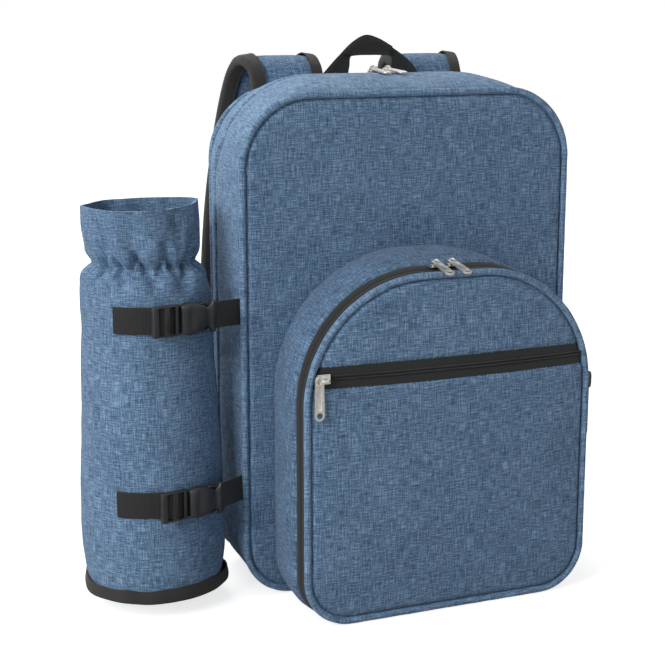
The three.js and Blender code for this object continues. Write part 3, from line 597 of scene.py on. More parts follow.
# %% [markdown]
# A gusset is the strip of cloth that runs round the side of a bag. It is sewn in at both edges, so each edge
# tucks in under the piping and throws a thin line of shade, and between them the cloth is never quite flat.
# It is one grid wrapped round the outline, its edge tucks and soft dents made by pushing each point along the
# outline's outward direction.

# %% Gusset helper
TUCK_DEEP = 3.2
TUCK_WIDE = 1.9


def tuck(y, first, last):
    return TUCK_DEEP * (hump(y - first, TUCK_WIDE) + hump(y - last, TUCK_WIDE))


def wrapped_sheet(name, shape_at, y_first, y_last, push, across=360, along=18, first=0.0, last=1.0):
    """A sheet round an outline between two places in depth; push(share, y, x, z) moves it outwards."""
    length = rim_length(shape_at((y_first + y_last) / 2))

    def place(u, v):
        share, y = mix(first, last, u), mix(y_first, y_last, v)
        x, z, nx, nz = rim_at(shape_at(y), share)
        amount = push(share, y, x, z)
        return at(x + nx * amount, y, max(z + nz * amount, 0.0))

    def flat(u, v):
        return (mix(y_first, y_last, v) * MM, mix(first, last, u) * length * MM)

    return shaped_grid(name, across, along, place, flat)


def outward_from(centre):
    def direction(point):
        away = Vector(point) - centre
        away.y = 0
        return away

    return direction


BODY_MIDDLE = at(0, 0, 196)
from_body = outward_from(BODY_MIDDLE)

# %% Front gusset of the main body
ZIP_FIRST, ZIP_LAST = 7.0, 13.0
ZIP_LIP = 1.5
CREASES = [((-45.0, 199.0), (5.0, 186.0), 1.5, 3.2), ((-38.0, 252.0), (2.0, 262.0), 0.7, 5.0)]


def crease_depth(y, z, creases):
    """How deep soft creases are at a place on a side wall; each runs between two places, deep and wide."""
    depth = 0.0
    for (y0, z0), (y1, z1), deep, wide in creases:
        along_y, along_z = y1 - y0, z1 - z0
        size = math.hypot(along_y, along_z)
        t = ((y - y0) * along_y + (z - z0) * along_z) / size**2
        across = ((y - y0) * along_z - (z - z0) * along_y) / size
        fade = min(max(4 * t, 0), 1) * min(max(4 * (1 - t), 0), 1)
        depth += deep * fade * hump(across, wide)
    return depth


def front_gusset_push(share, y, x, z):
    soft = 1.1 * ripple(x, y, z, 60) + 0.45 * ripple(x, y, z, 22)
    middle = math.sin(math.pi * (y - FRONT_Y) / BODY_DEPTH)
    crease = crease_depth(y, z, CREASES) if x < -120 else 0.0
    return soft * middle - crease - tuck(y, FRONT_Y + PIPE, ZIP_FIRST + ZIP_LIP)


gusset_front = wrapped_sheet(
    "body_gusset_front", body_shape, FRONT_Y + PIPE, ZIP_FIRST + ZIP_LIP, front_gusset_push, along=30
)
finish_sheet(gusset_front, WALL * MM, from_body)
# Painted light: the front gusset takes the lighter copy of the cloth.
dress(gusset_front, cloth_painted_light, "heather_cloth", "gusset_front")
print("front gusset:", len(gusset_front.data.polygons), "faces")


# %% Back gusset of the main body
def back_gusset_push(share, y, x, z):
    soft = 0.8 * ripple(x, y, z, 55) * math.sin(math.pi * (y - FRONT_Y) / BODY_DEPTH)
    return soft - tuck(y, ZIP_LAST - ZIP_LIP, BACK_Y - PIPE)


gusset_back = wrapped_sheet(
    "body_gusset_back", body_shape, ZIP_LAST - ZIP_LIP, BACK_Y - PIPE, back_gusset_push, along=20
)
finish_sheet(gusset_back, WALL * MM, from_body)
# Painted light: the back gusset takes the lighter copy of the cloth.
dress(gusset_back, cloth_painted_light, "heather_cloth", "gusset_back")
print("back gusset:", len(gusset_back.data.polygons), "faces")

# %% [markdown]
# The zip of the main body lies between the two gussets: two woven tapes that meet in a groove, with the nylon
# coil on the inner side. Under the base there is no zip, and the same narrow gap is closed with a strip of
# cloth. A tape is a wrapped sheet whose push draws its cross-section, so the groove runs true round the corners.

# %% Zip bands
def zip_push(first, last, sink):
    middle = (first + last) / 2

    def push(share, y, x, z):
        near = abs(y - middle)
        quarter = (last - first) / 4
        tape = 0.5 * hump(near - quarter, 0.6 * quarter)
        return tape - sink - 1.6 * hump(near, 0.5) - 1.2 * hump(near - 2 * quarter, 0.9)

    return push


BODY_CORNER_END = share_on_rim(body_shape(10), 1, 1.0)
main_zip = wrapped_sheet(
    "main_zip_tape", body_shape, ZIP_FIRST, ZIP_LAST, zip_push(ZIP_FIRST, ZIP_LAST, 1.9),
    across=300, along=22, first=BODY_CORNER_END, last=1 - BODY_CORNER_END,
)
finish_sheet(main_zip, 0.8 * MM, from_body)
dress(main_zip, zip_tape, "zip_tape", "main_zipper")


def base_push(share, y, x, z):
    return -1.6


base_strip = wrapped_sheet(
    "base_strip", body_shape, ZIP_FIRST, ZIP_LAST, base_push,
    across=80, along=4, first=-BODY_CORNER_END, last=BODY_CORNER_END,
)
finish_sheet(base_strip, 1.2 * MM, from_body)
dress(base_strip, cloth, "heather_cloth", "gusset_base")
print("main zip:", len(main_zip.data.polygons), "faces")

# %% [markdown]
# A piping is a cord wrapped in a narrow strip of the bag's own cloth and caught in the seam, so the edge of each
# panel is a firm round line. It is a tube laid along the outline: one share goes round the bag and the other
# round the cord. Close beside it the stitches pull the cloth in at every few millimetres, which shows as small
# dents, so the tube's radius varies a little along its length.

# %% Pipings
def piping_tube(name, shape, y_middle, node, across=600, around=12):
    length = rim_length(shape)

    def place(u, v):
        x, z, nx, nz = rim_at(shape, u)
        turn = 2 * math.pi * v
        radius = PIPE + 0.16 * ripple(u * length, 0, y_middle, 7)
        out = radius * math.cos(turn)
        return at(x + nx * out, y_middle + radius * math.sin(turn), z + nz * out)

    def flat(u, v):
        return (v * 2 * math.pi * PIPE * MM, u * length * MM)

    tube = shaped_grid(name, across, around, place, flat)
    face_outwards(tube)
    smooth(tube)
    # Painted light: pipings take the lighter copy of the cloth.
    dress(tube, cloth_painted_light, "heather_cloth", node)
    return tube


main_piping = piping_tube("main_piping_cord", FRONT_SEAM, FRONT_Y, "main_piping")
back_piping = piping_tube("back_piping_cord", BACK_SEAM, BACK_Y, "back_piping")
print("pipings:", len(main_piping.data.polygons), "faces each")

# %% [markdown]
# The front of the main body is one flat piece of cloth over foam, held tight by its piping. It is made as rings
# of points from its middle to its edge, so that the edge can dip into the seam all the way round and pucker
# where the stitches hold it. The middle of a real panel is slightly full, by two or three millimetres.

# %% Panel helper
EDGE_WIDE = 2.1


def panel_sheet(name, shape, face_y, facing, dome, across=360, along=56, dent=None, crowding=1.6):
    """A panel facing -Y or +Y; dome is how far its middle stands proud, and dent(x, z) is taken off it."""
    middle = (shape[1] + shape[2]) / 2

    def ring(v):
        return 1 - (1 - v) ** crowding

    def place(u, v):
        v = ring(v)
        x, z, _, _ = rim_at(shape, u)
        x, z = x * v, middle + (z - middle) * v
        inwards = (1 - v) * min(shape[0], shape[1] - middle)
        pucker = 0.35 * ripple(u * rim_length(shape), 0, 0, 5) * hump(inwards, 7)
        proud = dome * (1 - v * v) - 3.4 * hump(inwards, EDGE_WIDE) + pucker
        proud += 0.5 * ripple(x, face_y, z, 48) * (1 - hump(inwards, 14))
        if dent:
            proud -= dent(x, z)
        return at(x, face_y + facing * proud, z)

    def flat(u, v):
        v = ring(v)
        x, z, _, _ = rim_at(shape, u)
        return (x * v * MM, (middle + (z - middle) * v) * MM)

    return shaped_grid(name, across, along, place, flat)


def towards_y(facing):
    return lambda point: Vector((0, facing, 0))


# %% Front panel of the main body
PANEL_FRONT_Y = FRONT_Y - PIPE + GAP
main_panel = panel_sheet("main_front_cloth", inset(FRONT_SEAM, PIPE - 0.6), PANEL_FRONT_Y, -1, 0.8)
finish_sheet(main_panel, WALL * MM, towards_y(-1))
dress(main_panel, cloth, "heather_cloth", "main_front_panel")
print("front panel:", len(main_panel.data.polygons), "faces")

# %% [markdown]
# The front pocket is an arched box that stands 77 mm off the body. It has its own gusset, zip, piping and a face
# that is crossed by a second zip. Its rear edge is sewn straight to the front panel.

# %% Shape of the pocket
POCKET_FRONT_Y = -122.0
POCKET_REAR_Y = FRONT_Y - PIPE - GAP
POCKET_DEPTH = 77.0
POCKET_SEAM = (119 - PIPE, 265 - PIPE, PIPE + GAP, 95 - PIPE, 38 - PIPE)
pocket_swell = smooth_table([0.0, 0.25, 0.6, 1.0], [0.0, 0.8, 1.0, 0.0])


def pocket_shape(y):
    share = (y - POCKET_FRONT_Y) / POCKET_DEPTH
    swell = 4 * pocket_swell(share)
    half = mix(POCKET_SEAM[0], 114.5, share) + swell
    corner = mix(POCKET_SEAM[3], 106, share) + swell
    return (half, mix(POCKET_SEAM[1], 273, share) + swell, 0.0, corner, POCKET_SEAM[4])


# %% Gusset of the pocket
POCKET_ZIP_FIRST = POCKET_FRONT_Y + PIPE
POCKET_ZIP_LAST = POCKET_ZIP_FIRST + GAP + 16
POCKET_SEAM_LINE = POCKET_ZIP_LAST + 13.5


def pocket_gusset_push(share, y, x, z):
    soft = 1.3 * ripple(x, y, z, 45) + 0.4 * ripple(x, y, z, 16)
    middle = math.sin(math.pi * (y - POCKET_FRONT_Y) / POCKET_DEPTH)
    seam = 1.2 * hump(y - POCKET_SEAM_LINE, 0.9) - 0.5 * hump(y - POCKET_SEAM_LINE + 3, 2.2)
    return soft * middle - seam - tuck(y, POCKET_ZIP_LAST, POCKET_REAR_Y)


pocket_gusset = wrapped_sheet(
    "pocket_gusset_cloth", pocket_shape, POCKET_ZIP_LAST, POCKET_REAR_Y, pocket_gusset_push,
    across=360, along=48,
)
from_pocket = outward_from(at(0, 0, 130))
finish_sheet(pocket_gusset, WALL * MM, from_pocket)
# Painted shade: the pocket's gusset takes the darker copy of the cloth.
dress(pocket_gusset, cloth_painted_shade, "heather_cloth", "pocket_gusset")
print("pocket gusset:", len(pocket_gusset.data.polygons), "faces")

# %% Zip and base strip of the pocket
POCKET_ZIP_END = share_on_rim(pocket_shape(POCKET_ZIP_FIRST), 1, 3 / 7)
pocket_zip = wrapped_sheet(
    "pocket_zip_tape", pocket_shape, POCKET_ZIP_FIRST, POCKET_ZIP_LAST,
    zip_push(POCKET_ZIP_FIRST, POCKET_ZIP_LAST, 0.9),
    across=320, along=34, first=POCKET_ZIP_END, last=1 - POCKET_ZIP_END,
)
finish_sheet(pocket_zip, 0.8 * MM, from_pocket)
dress(pocket_zip, zip_tape, "zip_tape", "pocket_zipper")


def pocket_base_push(share, y, x, z):
    return 0.6 * ripple(x, y, z, 20) - tuck(y, POCKET_ZIP_FIRST, POCKET_ZIP_LAST)


pocket_base = wrapped_sheet(
    "pocket_base_cloth", pocket_shape, POCKET_ZIP_FIRST, POCKET_ZIP_LAST, pocket_base_push,
    across=120, along=16, first=-POCKET_ZIP_END, last=POCKET_ZIP_END,
)
finish_sheet(pocket_base, WALL * MM, from_pocket)
# Painted light: the pocket's base takes the lighter copy of the cloth.
dress(pocket_base, cloth_painted_light, "heather_cloth", "pocket_base")
pocket_piping = piping_tube("pocket_piping_cord", POCKET_SEAM, POCKET_FRONT_Y, "pocket_piping")
print("pocket zip:", len(pocket_zip.data.polygons), "faces")

# %% [markdown]
# The pocket's face is one domed form cut in three by a straight zip: cloth above, the zip strip, cloth below.
# Each part starts as the whole panel and is cut with the bisect operator at its own heights, so the parts share
# one surface and meet exactly. The cloth is folded under at the strip, so it dips there and is sewn down.

# %% Face of the pocket
STRIP_TOP, STRIP_LOW = 201.0, 185.5
FACE_DOME = 7.0


def fold_dent(x, z):
    return 1.5 * (hump(z - STRIP_TOP - 0.4, 1.4) + hump(z - STRIP_LOW + 0.4, 1.4)) - 0.5 * (
        hump(z - STRIP_TOP - 4.5, 2.5) + hump(z - STRIP_LOW + 4.5, 2.5)
    )


def strip_dent(x, z):
    return 1.2


def cut_band(piece, low, high):
    """Keeps what lies between two heights."""
    for height, clear in ((low, {"clear_inner": True}), (high, {"clear_outer": True})):
        if height is None:
            continue
        settings = {"plane_co": (0, 0, height * MM), "plane_no": (0, 0, 1), "use_fill": False, **clear}
        edit_all(piece, (bpy.ops.mesh.bisect, settings))
    return piece


def face_part(name, low, high, dent, wall, material, slot, node):
    shape = inset(POCKET_SEAM, PIPE - 0.6)
    part = panel_sheet(
        name, shape, POCKET_FRONT_Y - PIPE + GAP, -1, FACE_DOME, across=340, along=104, dent=dent, crowding=1.0,
    )
    cut_band(part, low, high)
    finish_sheet(part, wall * MM, towards_y(-1))
    dress(part, material, slot, node)
    return part


face_upper = face_part(
    "pocket_face_upper", STRIP_TOP + 0.3, None, fold_dent, WALL, cloth, "heather_cloth", "pocket_panel_upper"
)
face_lower = face_part(
    "pocket_face_lower", None, STRIP_LOW - 0.3, fold_dent, WALL, cloth, "heather_cloth", "pocket_panel_lower"
)
face_part(
    "pocket_strip_tape", STRIP_LOW - 1, STRIP_TOP + 1, strip_dent, 0.8, zip_tape, "zip_tape", "pocket_zip_strip"
)
print("pocket face:", len(face_upper.data.polygons) + len(face_lower.data.polygons), "faces")

# %% [markdown]
# The strip's coil shows: two rows of nylon teeth, each a small loop of thick thread. One tooth is a squashed
# sphere; an Array repeats it along the row, and every copy is then set on the dome of the pocket's face.

# %% Coil of the strip
COIL_PITCH = 1.5
COIL_ROW = 1.15


def face_y_at(x, z):
    """Depth of the pocket's domed face, without its folds, at a place on it."""
    shape = inset(POCKET_SEAM, PIPE - 0.6)
    middle = (shape[1] + shape[2]) / 2
    low, high = 0.0, 1.2
    for _ in range(24):
        v = (low + high) / 2
        inside = any_inside(shape, x / v, middle + (z - middle) / v) if v > 0.01 else False
        low, high = (low, v) if inside else (v, high)
    return POCKET_FRONT_Y - PIPE + GAP - FACE_DOME * (1 - low * low)


def any_inside(shape, x, z):
    half, top, bottom, high, low = shape
    x = abs(x)
    if x > half or z > top or z < bottom:
        return False
    if x > half - high and z > top - high:
        return math.hypot(x - half + high, z - top + high) <= high
    if x > half - low and z < bottom + low:
        return math.hypot(x - half + low, z - bottom - low) <= low
    return True


def coil_rows():
    count = int(226 / COIL_PITCH)
    deselect()
    bpy.ops.mesh.primitive_uv_sphere_add(segments=8, ring_count=5, radius=1)
    coil = bpy.context.object
    coil.name = "pocket_strip_coil"
    for vertex in coil.data.vertices:
        vertex.co = Vector((vertex.co.x * 0.52 * MM, vertex.co.y * 0.8 * MM, vertex.co.z * 1.05 * MM))
    shape_points = len(coil.data.vertices)
    array = {"count": count, "use_relative_offset": False, "use_constant_offset": True}
    apply_modifier(coil, "ARRAY", constant_offset_displace=(COIL_PITCH * MM, 0, 0), **array)
    apply_modifier(
        coil, "ARRAY", count=2, use_relative_offset=False, use_constant_offset=True,
        constant_offset_displace=(0.5 * COIL_PITCH * MM, 0, 2 * COIL_ROW * MM),
    )
    middle = (STRIP_TOP + STRIP_LOW) / 2
    start = -113.0
    points = coil.data.vertices
    for first in range(0, len(points), shape_points):
        group = [points[i] for i in range(first, first + shape_points)]
        x = sum(v.co.x for v in group) / shape_points / MM + start
        z = sum(v.co.z for v in group) / shape_points / MM - COIL_ROW + middle
        y = face_y_at(x, z) + 1.0
        for vertex in group:
            vertex.co += at(start, y, middle - COIL_ROW)
    smooth(coil)
    return coil


strip_coil = coil_rows()
dress(strip_coil, coil_plastic, "zip_tape")
print("coil:", len(strip_coil.data.polygons), "faces")

# %% [markdown]
# The bottle sleeve is one rectangle of cloth sewn to a tube. An elastic caught inside pulls it together below its
# collar, so the cloth falls into uneven folds there: deep and narrow at the elastic, fading into the shoulder
# below and into the collar above. Each fold is a valley in the tube's radius with its own place and depth, and it
# drifts a little sideways with height, because gathered cloth never folds quite straight.

# %% Shape of the sleeve
SLEEVE_X, SLEEVE_Y = -201.6, -10.0
SLEEVE_FLOOR, SLEEVE_HEIGHT, SLEEVE_RADIUS = 13.0, 298.0, 54.3
NECK = 0.855
UPS = [0.0, 0.06, 0.42, 0.69, 0.795, 0.83, 0.855, 0.885, 0.94, 1.0]
sleeve_girth = smooth_table(UPS, [0.94, 0.99, 0.975, 0.91, 0.895, 0.84, 0.70, 0.765, 0.82, 0.82])
sleeve_lean = smooth_table(UPS, [0.0, 0.0, 0.15, 0.35, 0.5, 0.55, 0.6, 0.8, 1.0, 1.0])
sleeve_lift = smooth_table(UPS, [0.0, 0.0, 0.0, 0.0, 0.0, 0.0, 0.0, 0.1, 0.5, 1.0])
FOLDS = [
    (-152, 0.9, 14), (-131, 0.7, -26), (-118, 0.45, 30), (-105, 1.0, -34), (-88, 0.5, 20), (-74, 0.85, -18),
    (-57, 1.0, 26), (-34, 0.7, -20), (-8, 0.8, 16), (18, 0.7, -12), (44, 0.9, 22), (70, 0.6, -18),
    (96, 0.9, 12), (122, 0.7, -24), (150, 0.8, 18), (178, 0.7, -16),
]
LONG_FOLDS = [
    (-112, 3.4, 0.93, 8), (-64, 3.0, 0.94, 6), (-84, -1.6, 0.94, 9), (-145, 2.0, 0.95, 11), (60, 2.6, 0.95, 9),
    (95, 3.0, 0.97, 8), (-30, 1.6, 0.93, 8), (140, 2.2, 0.96, 9),
]
RIM_CORNERS = [(-150, 2.6, 16), (-96, 2.0, 12), (-40, 2.4, 14), (28, 2.2, 16), (112, 2.4, 18)]


def turn_between(a, b):
    return (a - b + 180) % 360 - 180


def fold_depth(degrees, up):
    above = up - NECK
    strength = hump(above, 0.040 if above < 0 else 0.060)
    if strength < 0.01:
        return 0.0
    wide = mix(9.5, 3.6, strength)
    depth = 0.0
    for place, deep, drift in FOLDS:
        depth += deep * hump(turn_between(degrees, place + drift * above * 8), wide)
    return (8.0 * depth - 2.2) * strength


def sleeve_radius(degrees, up):
    neck_line = 1.6 * hump((up - NECK) * SLEEVE_HEIGHT, 2.2)
    radius = SLEEVE_RADIUS * sleeve_girth(up) - fold_depth(degrees, up) - neck_line
    for place, deep, height, wide in LONG_FOLDS:
        radius -= deep * hump(turn_between(degrees, place), wide) * hump(up - height, 0.055)
    for place, proud, wide in RIM_CORNERS:
        radius += proud * hump(turn_between(degrees, place), wide) * collar_flat(up) ** 2
    return radius


def rim_wave(degrees):
    """The rim rises at the left of the photograph and dips between its corners."""
    return 2.2 * hump(turn_between(degrees, -165), 30) - 1.4 * hump(turn_between(degrees, -70), 30) + 1.2 * hump(
        turn_between(degrees, -20), 22
    )


def collar_flat(up):
    t = min(max((up - 0.86) / 0.14, 0.0), 1.0)
    return t * t * (3 - 2 * t)


def sleeve_point(degrees, up, outwards=0.0):
    """Place on the sleeve's outer face, pushed outwards by some millimetres."""
    turn = math.radians(degrees)
    radius = sleeve_radius(degrees, up) + outwards
    x, y = radius * math.cos(turn), radius * math.sin(turn)
    pinch = collar_flat(up) * (0.22 + 0.16 * math.cos(turn))
    z = SLEEVE_FLOOR + SLEEVE_HEIGHT * up + (1.5 * math.cos(turn) + rim_wave(degrees)) * sleeve_lift(up)
    x = SLEEVE_X + x - 4 * sleeve_lean(up)
    y = SLEEVE_Y + y * (1 - pinch)
    soft = 0.9 * ripple(x, y, z, 42) + 0.4 * ripple(x, y, z, 15)
    calm = min(max(up / 0.08, 0.2), 1.0)
    return x + soft * calm * math.cos(turn), y + soft * calm * math.sin(turn), z


# %% Sleeve cloth
SLEEVE_GIRTH_FLAT = 2 * math.pi * SLEEVE_RADIUS * MM


def sleeve_place(u, v):
    return at(*sleeve_point(360 * u, v))


def sleeve_flat(u, v):
    return (u * SLEEVE_GIRTH_FLAT, v * SLEEVE_HEIGHT * MM)


def from_sleeve(point):
    return Vector((point.x - SLEEVE_X * MM, point.y - SLEEVE_Y * MM, 0))


sleeve = shaped_grid("sleeve_cloth", 256, 116, sleeve_place, sleeve_flat)
finish_sheet(sleeve, WALL * MM, from_sleeve)
dress(sleeve, cloth, "heather_cloth", "sleeve_body")
print("sleeve:", len(sleeve.data.polygons), "faces")

# %% [markdown]
# The foot of the sleeve is a round piece of cloth, and a black bias tape is folded over the seam between the two.
# Such a tape is pulled round a tight curve, so its edge waves and one place stands out. It is a band with four
# rows of width: under the floor, round the edge, up the side and back in to the cloth.

# %% Foot of the sleeve
def foot_radius(degrees, up):
    wave = 1.2 * ripple(math.cos(math.radians(degrees)) * 50, math.sin(math.radians(degrees)) * 50, 0, 16)
    stand = 3.8 * hump(turn_between(degrees, -22), 12) + 1.6 * hump(turn_between(degrees, -170), 12)
    return sleeve_radius(degrees, up) + 1.4 + wave + stand * (1 - up * 8)


binding_path = smooth_table([0.0, 0.3, 0.42, 0.55, 1.0], [-9.0, -1.2, 0.6, 1.2, 0.2])
binding_rise = smooth_table([0.0, 0.3, 0.42, 0.55, 1.0], [0.2, 0.0, 0.7, 2.6, 11.0])


def binding_place(u, v):
    degrees = 360 * u
    turn = math.radians(degrees)
    top_wave = 2.6 * ripple(math.cos(turn) * 40, math.sin(turn) * 40, 5, 14) * v
    radius = foot_radius(degrees, 0.02) + binding_path(v)
    z = SLEEVE_FLOOR + binding_rise(v) + top_wave
    return at(SLEEVE_X + radius * math.cos(turn), SLEEVE_Y + radius * math.sin(turn), z)


def binding_flat(u, v):
    return (v * 20 * MM, u * SLEEVE_GIRTH_FLAT)


sleeve_binding = shaped_grid("sleeve_foot_binding", 300, 24, binding_place, binding_flat)
finish_sheet(sleeve_binding, 0, from_sleeve)
apply_modifier(sleeve_binding, "SOLIDIFY", thickness=1.0 * MM, offset=-1.0)
smooth(sleeve_binding)
dress(sleeve_binding, binding, "binding", "sleeve_binding")


def sleeve_floor_place(u, v):
    turn = 2 * math.pi * u
    radius = (SLEEVE_RADIUS * 0.94 - 3) * v
    x, y = SLEEVE_X + radius * math.cos(turn), SLEEVE_Y + radius * math.sin(turn)
    return at(x, y, SLEEVE_FLOOR + 1.6 + 0.5 * ripple(x, y, 0, 30) * (1 - v))


def sleeve_floor_flat(u, v):
    turn = 2 * math.pi * u
    return (v * 0.05 * math.cos(turn), v * 0.05 * math.sin(turn))


sleeve_floor = shaped_grid("sleeve_floor_cloth", 96, 16, sleeve_floor_place, sleeve_floor_flat)
finish_sheet(sleeve_floor, WALL * MM, lambda point: Vector((0, 0, 1)))
dress(sleeve_floor, cloth, "heather_cloth", "sleeve_base")
print("sleeve foot:", len(sleeve_binding.data.polygons), "faces")

# %% [markdown]
# Two straps hold the sleeve, each with a side-release buckle of moulded plastic. Its parts sit in a little frame
# of their own: along the strap, upwards, and away from the sleeve. A helper places a piece that was modelled flat
# at the world's middle into that frame, and applies the move, so the finished object stays at the origin.

# %% Buckle frame
BUCKLE_TURN = math.radians(-76)
WEB_WIDTH, WEB_THICK = 20.0, 1.8
STRAP_HEIGHTS = {"upper": 232.0, "lower": 93.0}
SOCKET_LENGTH, PLUG_LENGTH, BUCKLE_FORWARD = 28.5, 22.0, 4.5


def buckle_matrix(height, along):
    tangent = Vector((-math.sin(BUCKLE_TURN), math.cos(BUCKLE_TURN), 0))
    normal = Vector((math.cos(BUCKLE_TURN), math.sin(BUCKLE_TURN), 0))
    low_share = (height - WEB_WIDTH / 2 - SLEEVE_FLOOR) / SLEEVE_HEIGHT
    stand_off = (SLEEVE_RADIUS * sleeve_girth(low_share) + GAP + WEB_THICK) * math.cos(math.radians(8)) + GAP
    foot = Vector((SLEEVE_X, SLEEVE_Y, height)) + normal * stand_off + tangent * along
    matrix = Matrix((tangent, Vector((0, 0, 1)), normal)).transposed().to_4x4()
    matrix.translation = foot * MM
    return matrix


def settle(piece, matrix):
    """Moves the mesh itself, so that the object stays at the origin."""
    make_active(piece)
    piece.matrix_world = matrix
    bpy.ops.object.transform_apply(location=True, rotation=True, scale=True)
    return piece


def copy_piece(piece, name):
    deselect()
    piece.select_set(True)
    bpy.context.view_layer.objects.active = piece
    bpy.ops.object.duplicate()
    double = bpy.context.object
    double.name = name
    double.data.name = name
    return double


def block(name, size, middle, bevel=0.0, segments=2):
    """A box in millimetres, with rounded edges."""
    deselect()
    bpy.ops.mesh.primitive_cube_add(size=1)
    piece = bpy.context.object
    piece.name = name
    for vertex in piece.data.vertices:
        vertex.co = at(*(c * s + m for c, s, m in zip(vertex.co, size, middle)))
    if bevel:
        apply_modifier(piece, "BEVEL", width=bevel * MM, segments=segments, limit_method="NONE")
    return piece


def rod(name, radius, length, middle, axis="Z", sides=24):
    deselect()
    bpy.ops.mesh.primitive_cylinder_add(vertices=sides, radius=radius * MM, depth=length * MM)
    piece = bpy.context.object
    piece.name = name
    if axis != "Z":
        turn = Matrix.Rotation(QUARTER, 4, "Y" if axis == "X" else "X")
        piece.data.transform(turn)
    piece.data.transform(Matrix.Translation(at(*middle)))
    return piece


def combine(piece, other, operation):
    """Boolean of two closed pieces; the other one is used up."""
    make_active(piece)
    modifier = piece.modifiers.new("combine", "BOOLEAN")
    modifier.operation = operation
    modifier.solver = "EXACT"
    modifier.object = other
    bpy.ops.object.modifier_apply(modifier=modifier.name)
    deselect()
    other.select_set(True)
    bpy.context.view_layer.objects.active = other
    bpy.ops.object.delete()
    return piece


def soften(piece, width, segments=2, angle=40):
    apply_modifier(
        piece, "BEVEL", width=width * MM, segments=segments,
        limit_method="ANGLE", angle_limit=math.radians(angle),
    )
    smooth(piece, 35)
    return piece


print("buckle frame ready")

# %% [markdown]
# The plug is a flat frame with two slots that the webbing is threaded through. Its bars are rounded so that they
# don't cut the webbing, and they catch a thin line of light. It is a rounded block, with two blocks cut out of
# it, a ribbed middle bar and bevelled edges.

# %% Buckle plug
def make_plug():
    plug = block("plug", (PLUG_LENGTH, 23.4, 3.6), (PLUG_LENGTH / 2, 0, 2.2), 1.2, 3)
    for first, last in ((0.2, 0.42), (0.62, 0.84)):
        size = ((last - first) * PLUG_LENGTH, 20.4, 12)
        combine(plug, block("slot", size, ((first + last) / 2 * PLUG_LENGTH, 0, 2), 0.6, 2), "DIFFERENCE")
    for along in (0.47, 0.52, 0.57):
        combine(plug, rod("rib", 0.55, 19.6, (along * PLUG_LENGTH, 0, 4.1), "Y", 12), "UNION")
    return soften(plug, 0.25, 2, 50)


# %% Buckle socket
socket_half = smooth_table(
    [0.0, 0.06, 0.5, 0.66, 0.78, 0.9, 0.95, 1.0], [10.2, 11.0, 11.0, 9.4, 8.0, 10.3, 12.2, 12.0]
)
socket_top = smooth_table([0.0, 0.05, 0.3, 0.6, 0.8, 0.93, 1.0], [6.6, 7.4, 8.0, 7.7, 7.0, 7.6, 7.2])


def superellipse(turn, power):
    c, s = math.cos(turn), math.sin(turn)
    return math.copysign(abs(c) ** power, c), math.copysign(abs(s) ** power, s)


def make_socket():
    def place(u, v):
        cap = min(1.0, v / 0.06, (1 - v) / 0.06)
        along = min(max((v - 0.06) / 0.88, 0.0), 1.0)
        half, top = socket_half(along), socket_top(along)
        wide, tall = superellipse(2 * math.pi * u, 0.42)
        lip = 0.6 * hump(along - 0.93, 0.03)
        dish = 0.7 * hump(along - 0.27, 0.13) * hump(wide * half, 6.0) if tall > 0 else 0.0
        size = cap ** 0.6 if cap < 1 else 1.0
        z = top / 2 + (top / 2) * tall * size - dish
        return at(along * SOCKET_LENGTH, (half + lip) * wide * size, z)

    socket = shaped_grid("socket", 72, 80, place, lambda u, v: (u * 0.05, v * 0.03))
    face_outwards(socket)
    smooth(socket, 40)
    combine(socket, block("web_slot", (4, 20.6, 2.6), (SOCKET_LENGTH - 0.6, 0, 4.2), 0.4, 2), "DIFFERENCE")
    combine(socket, block("plug_slot", (4, 19, 4.0), (-0.4, 0, 3.9), 0.4, 2), "DIFFERENCE")
    smooth(socket, 40)
    return socket


def make_prongs():
    """The two springy arms that show in the scallops of the socket."""
    prong = None
    for side in (-1, 1):
        def place(u, v):
            arc = math.sin(math.pi * v)
            along = mix(0.44, 0.88, v) * SOCKET_LENGTH
            thin = 1.0 * min(1.0, 6 * v, 6 * (1 - v)) ** 0.5 if 0 < v < 1 else 0.0
            wide, tall = superellipse(2 * math.pi * u, 0.7)
            return at(along, side * (7.6 + 2.9 * arc) + thin * wide, 4.0 + 2.2 * thin * tall)

        arm = shaped_grid(f"prong_{side}", 20, 28, place, lambda u, v: (u * 0.01, v * 0.02))
        face_outwards(arm)
        smooth(arm)
        if prong is None:
            prong = arm
        else:
            deselect()
            arm.select_set(True)
            prong.select_set(True)
            bpy.context.view_layer.objects.active = prong
            bpy.ops.object.join()
    return prong


def make_thread():
    """The webbing in the slots of the plug: under its frame, over the middle bar and down again."""
    def place(u, v):
        rise = 1.3 + 2.3 * hump(v - 0.5, 0.16)
        return at(mix(0.4, PLUG_LENGTH - 1.0, v), 19.4 * (u - 0.5), rise)

    thread = shaped_grid("thread", 10, 60, place, lambda u, v: (u * 0.0194, v * 0.026))
    finish_sheet(thread, 0.9 * MM, lambda point: Vector((0, 0, 1)))
    return thread


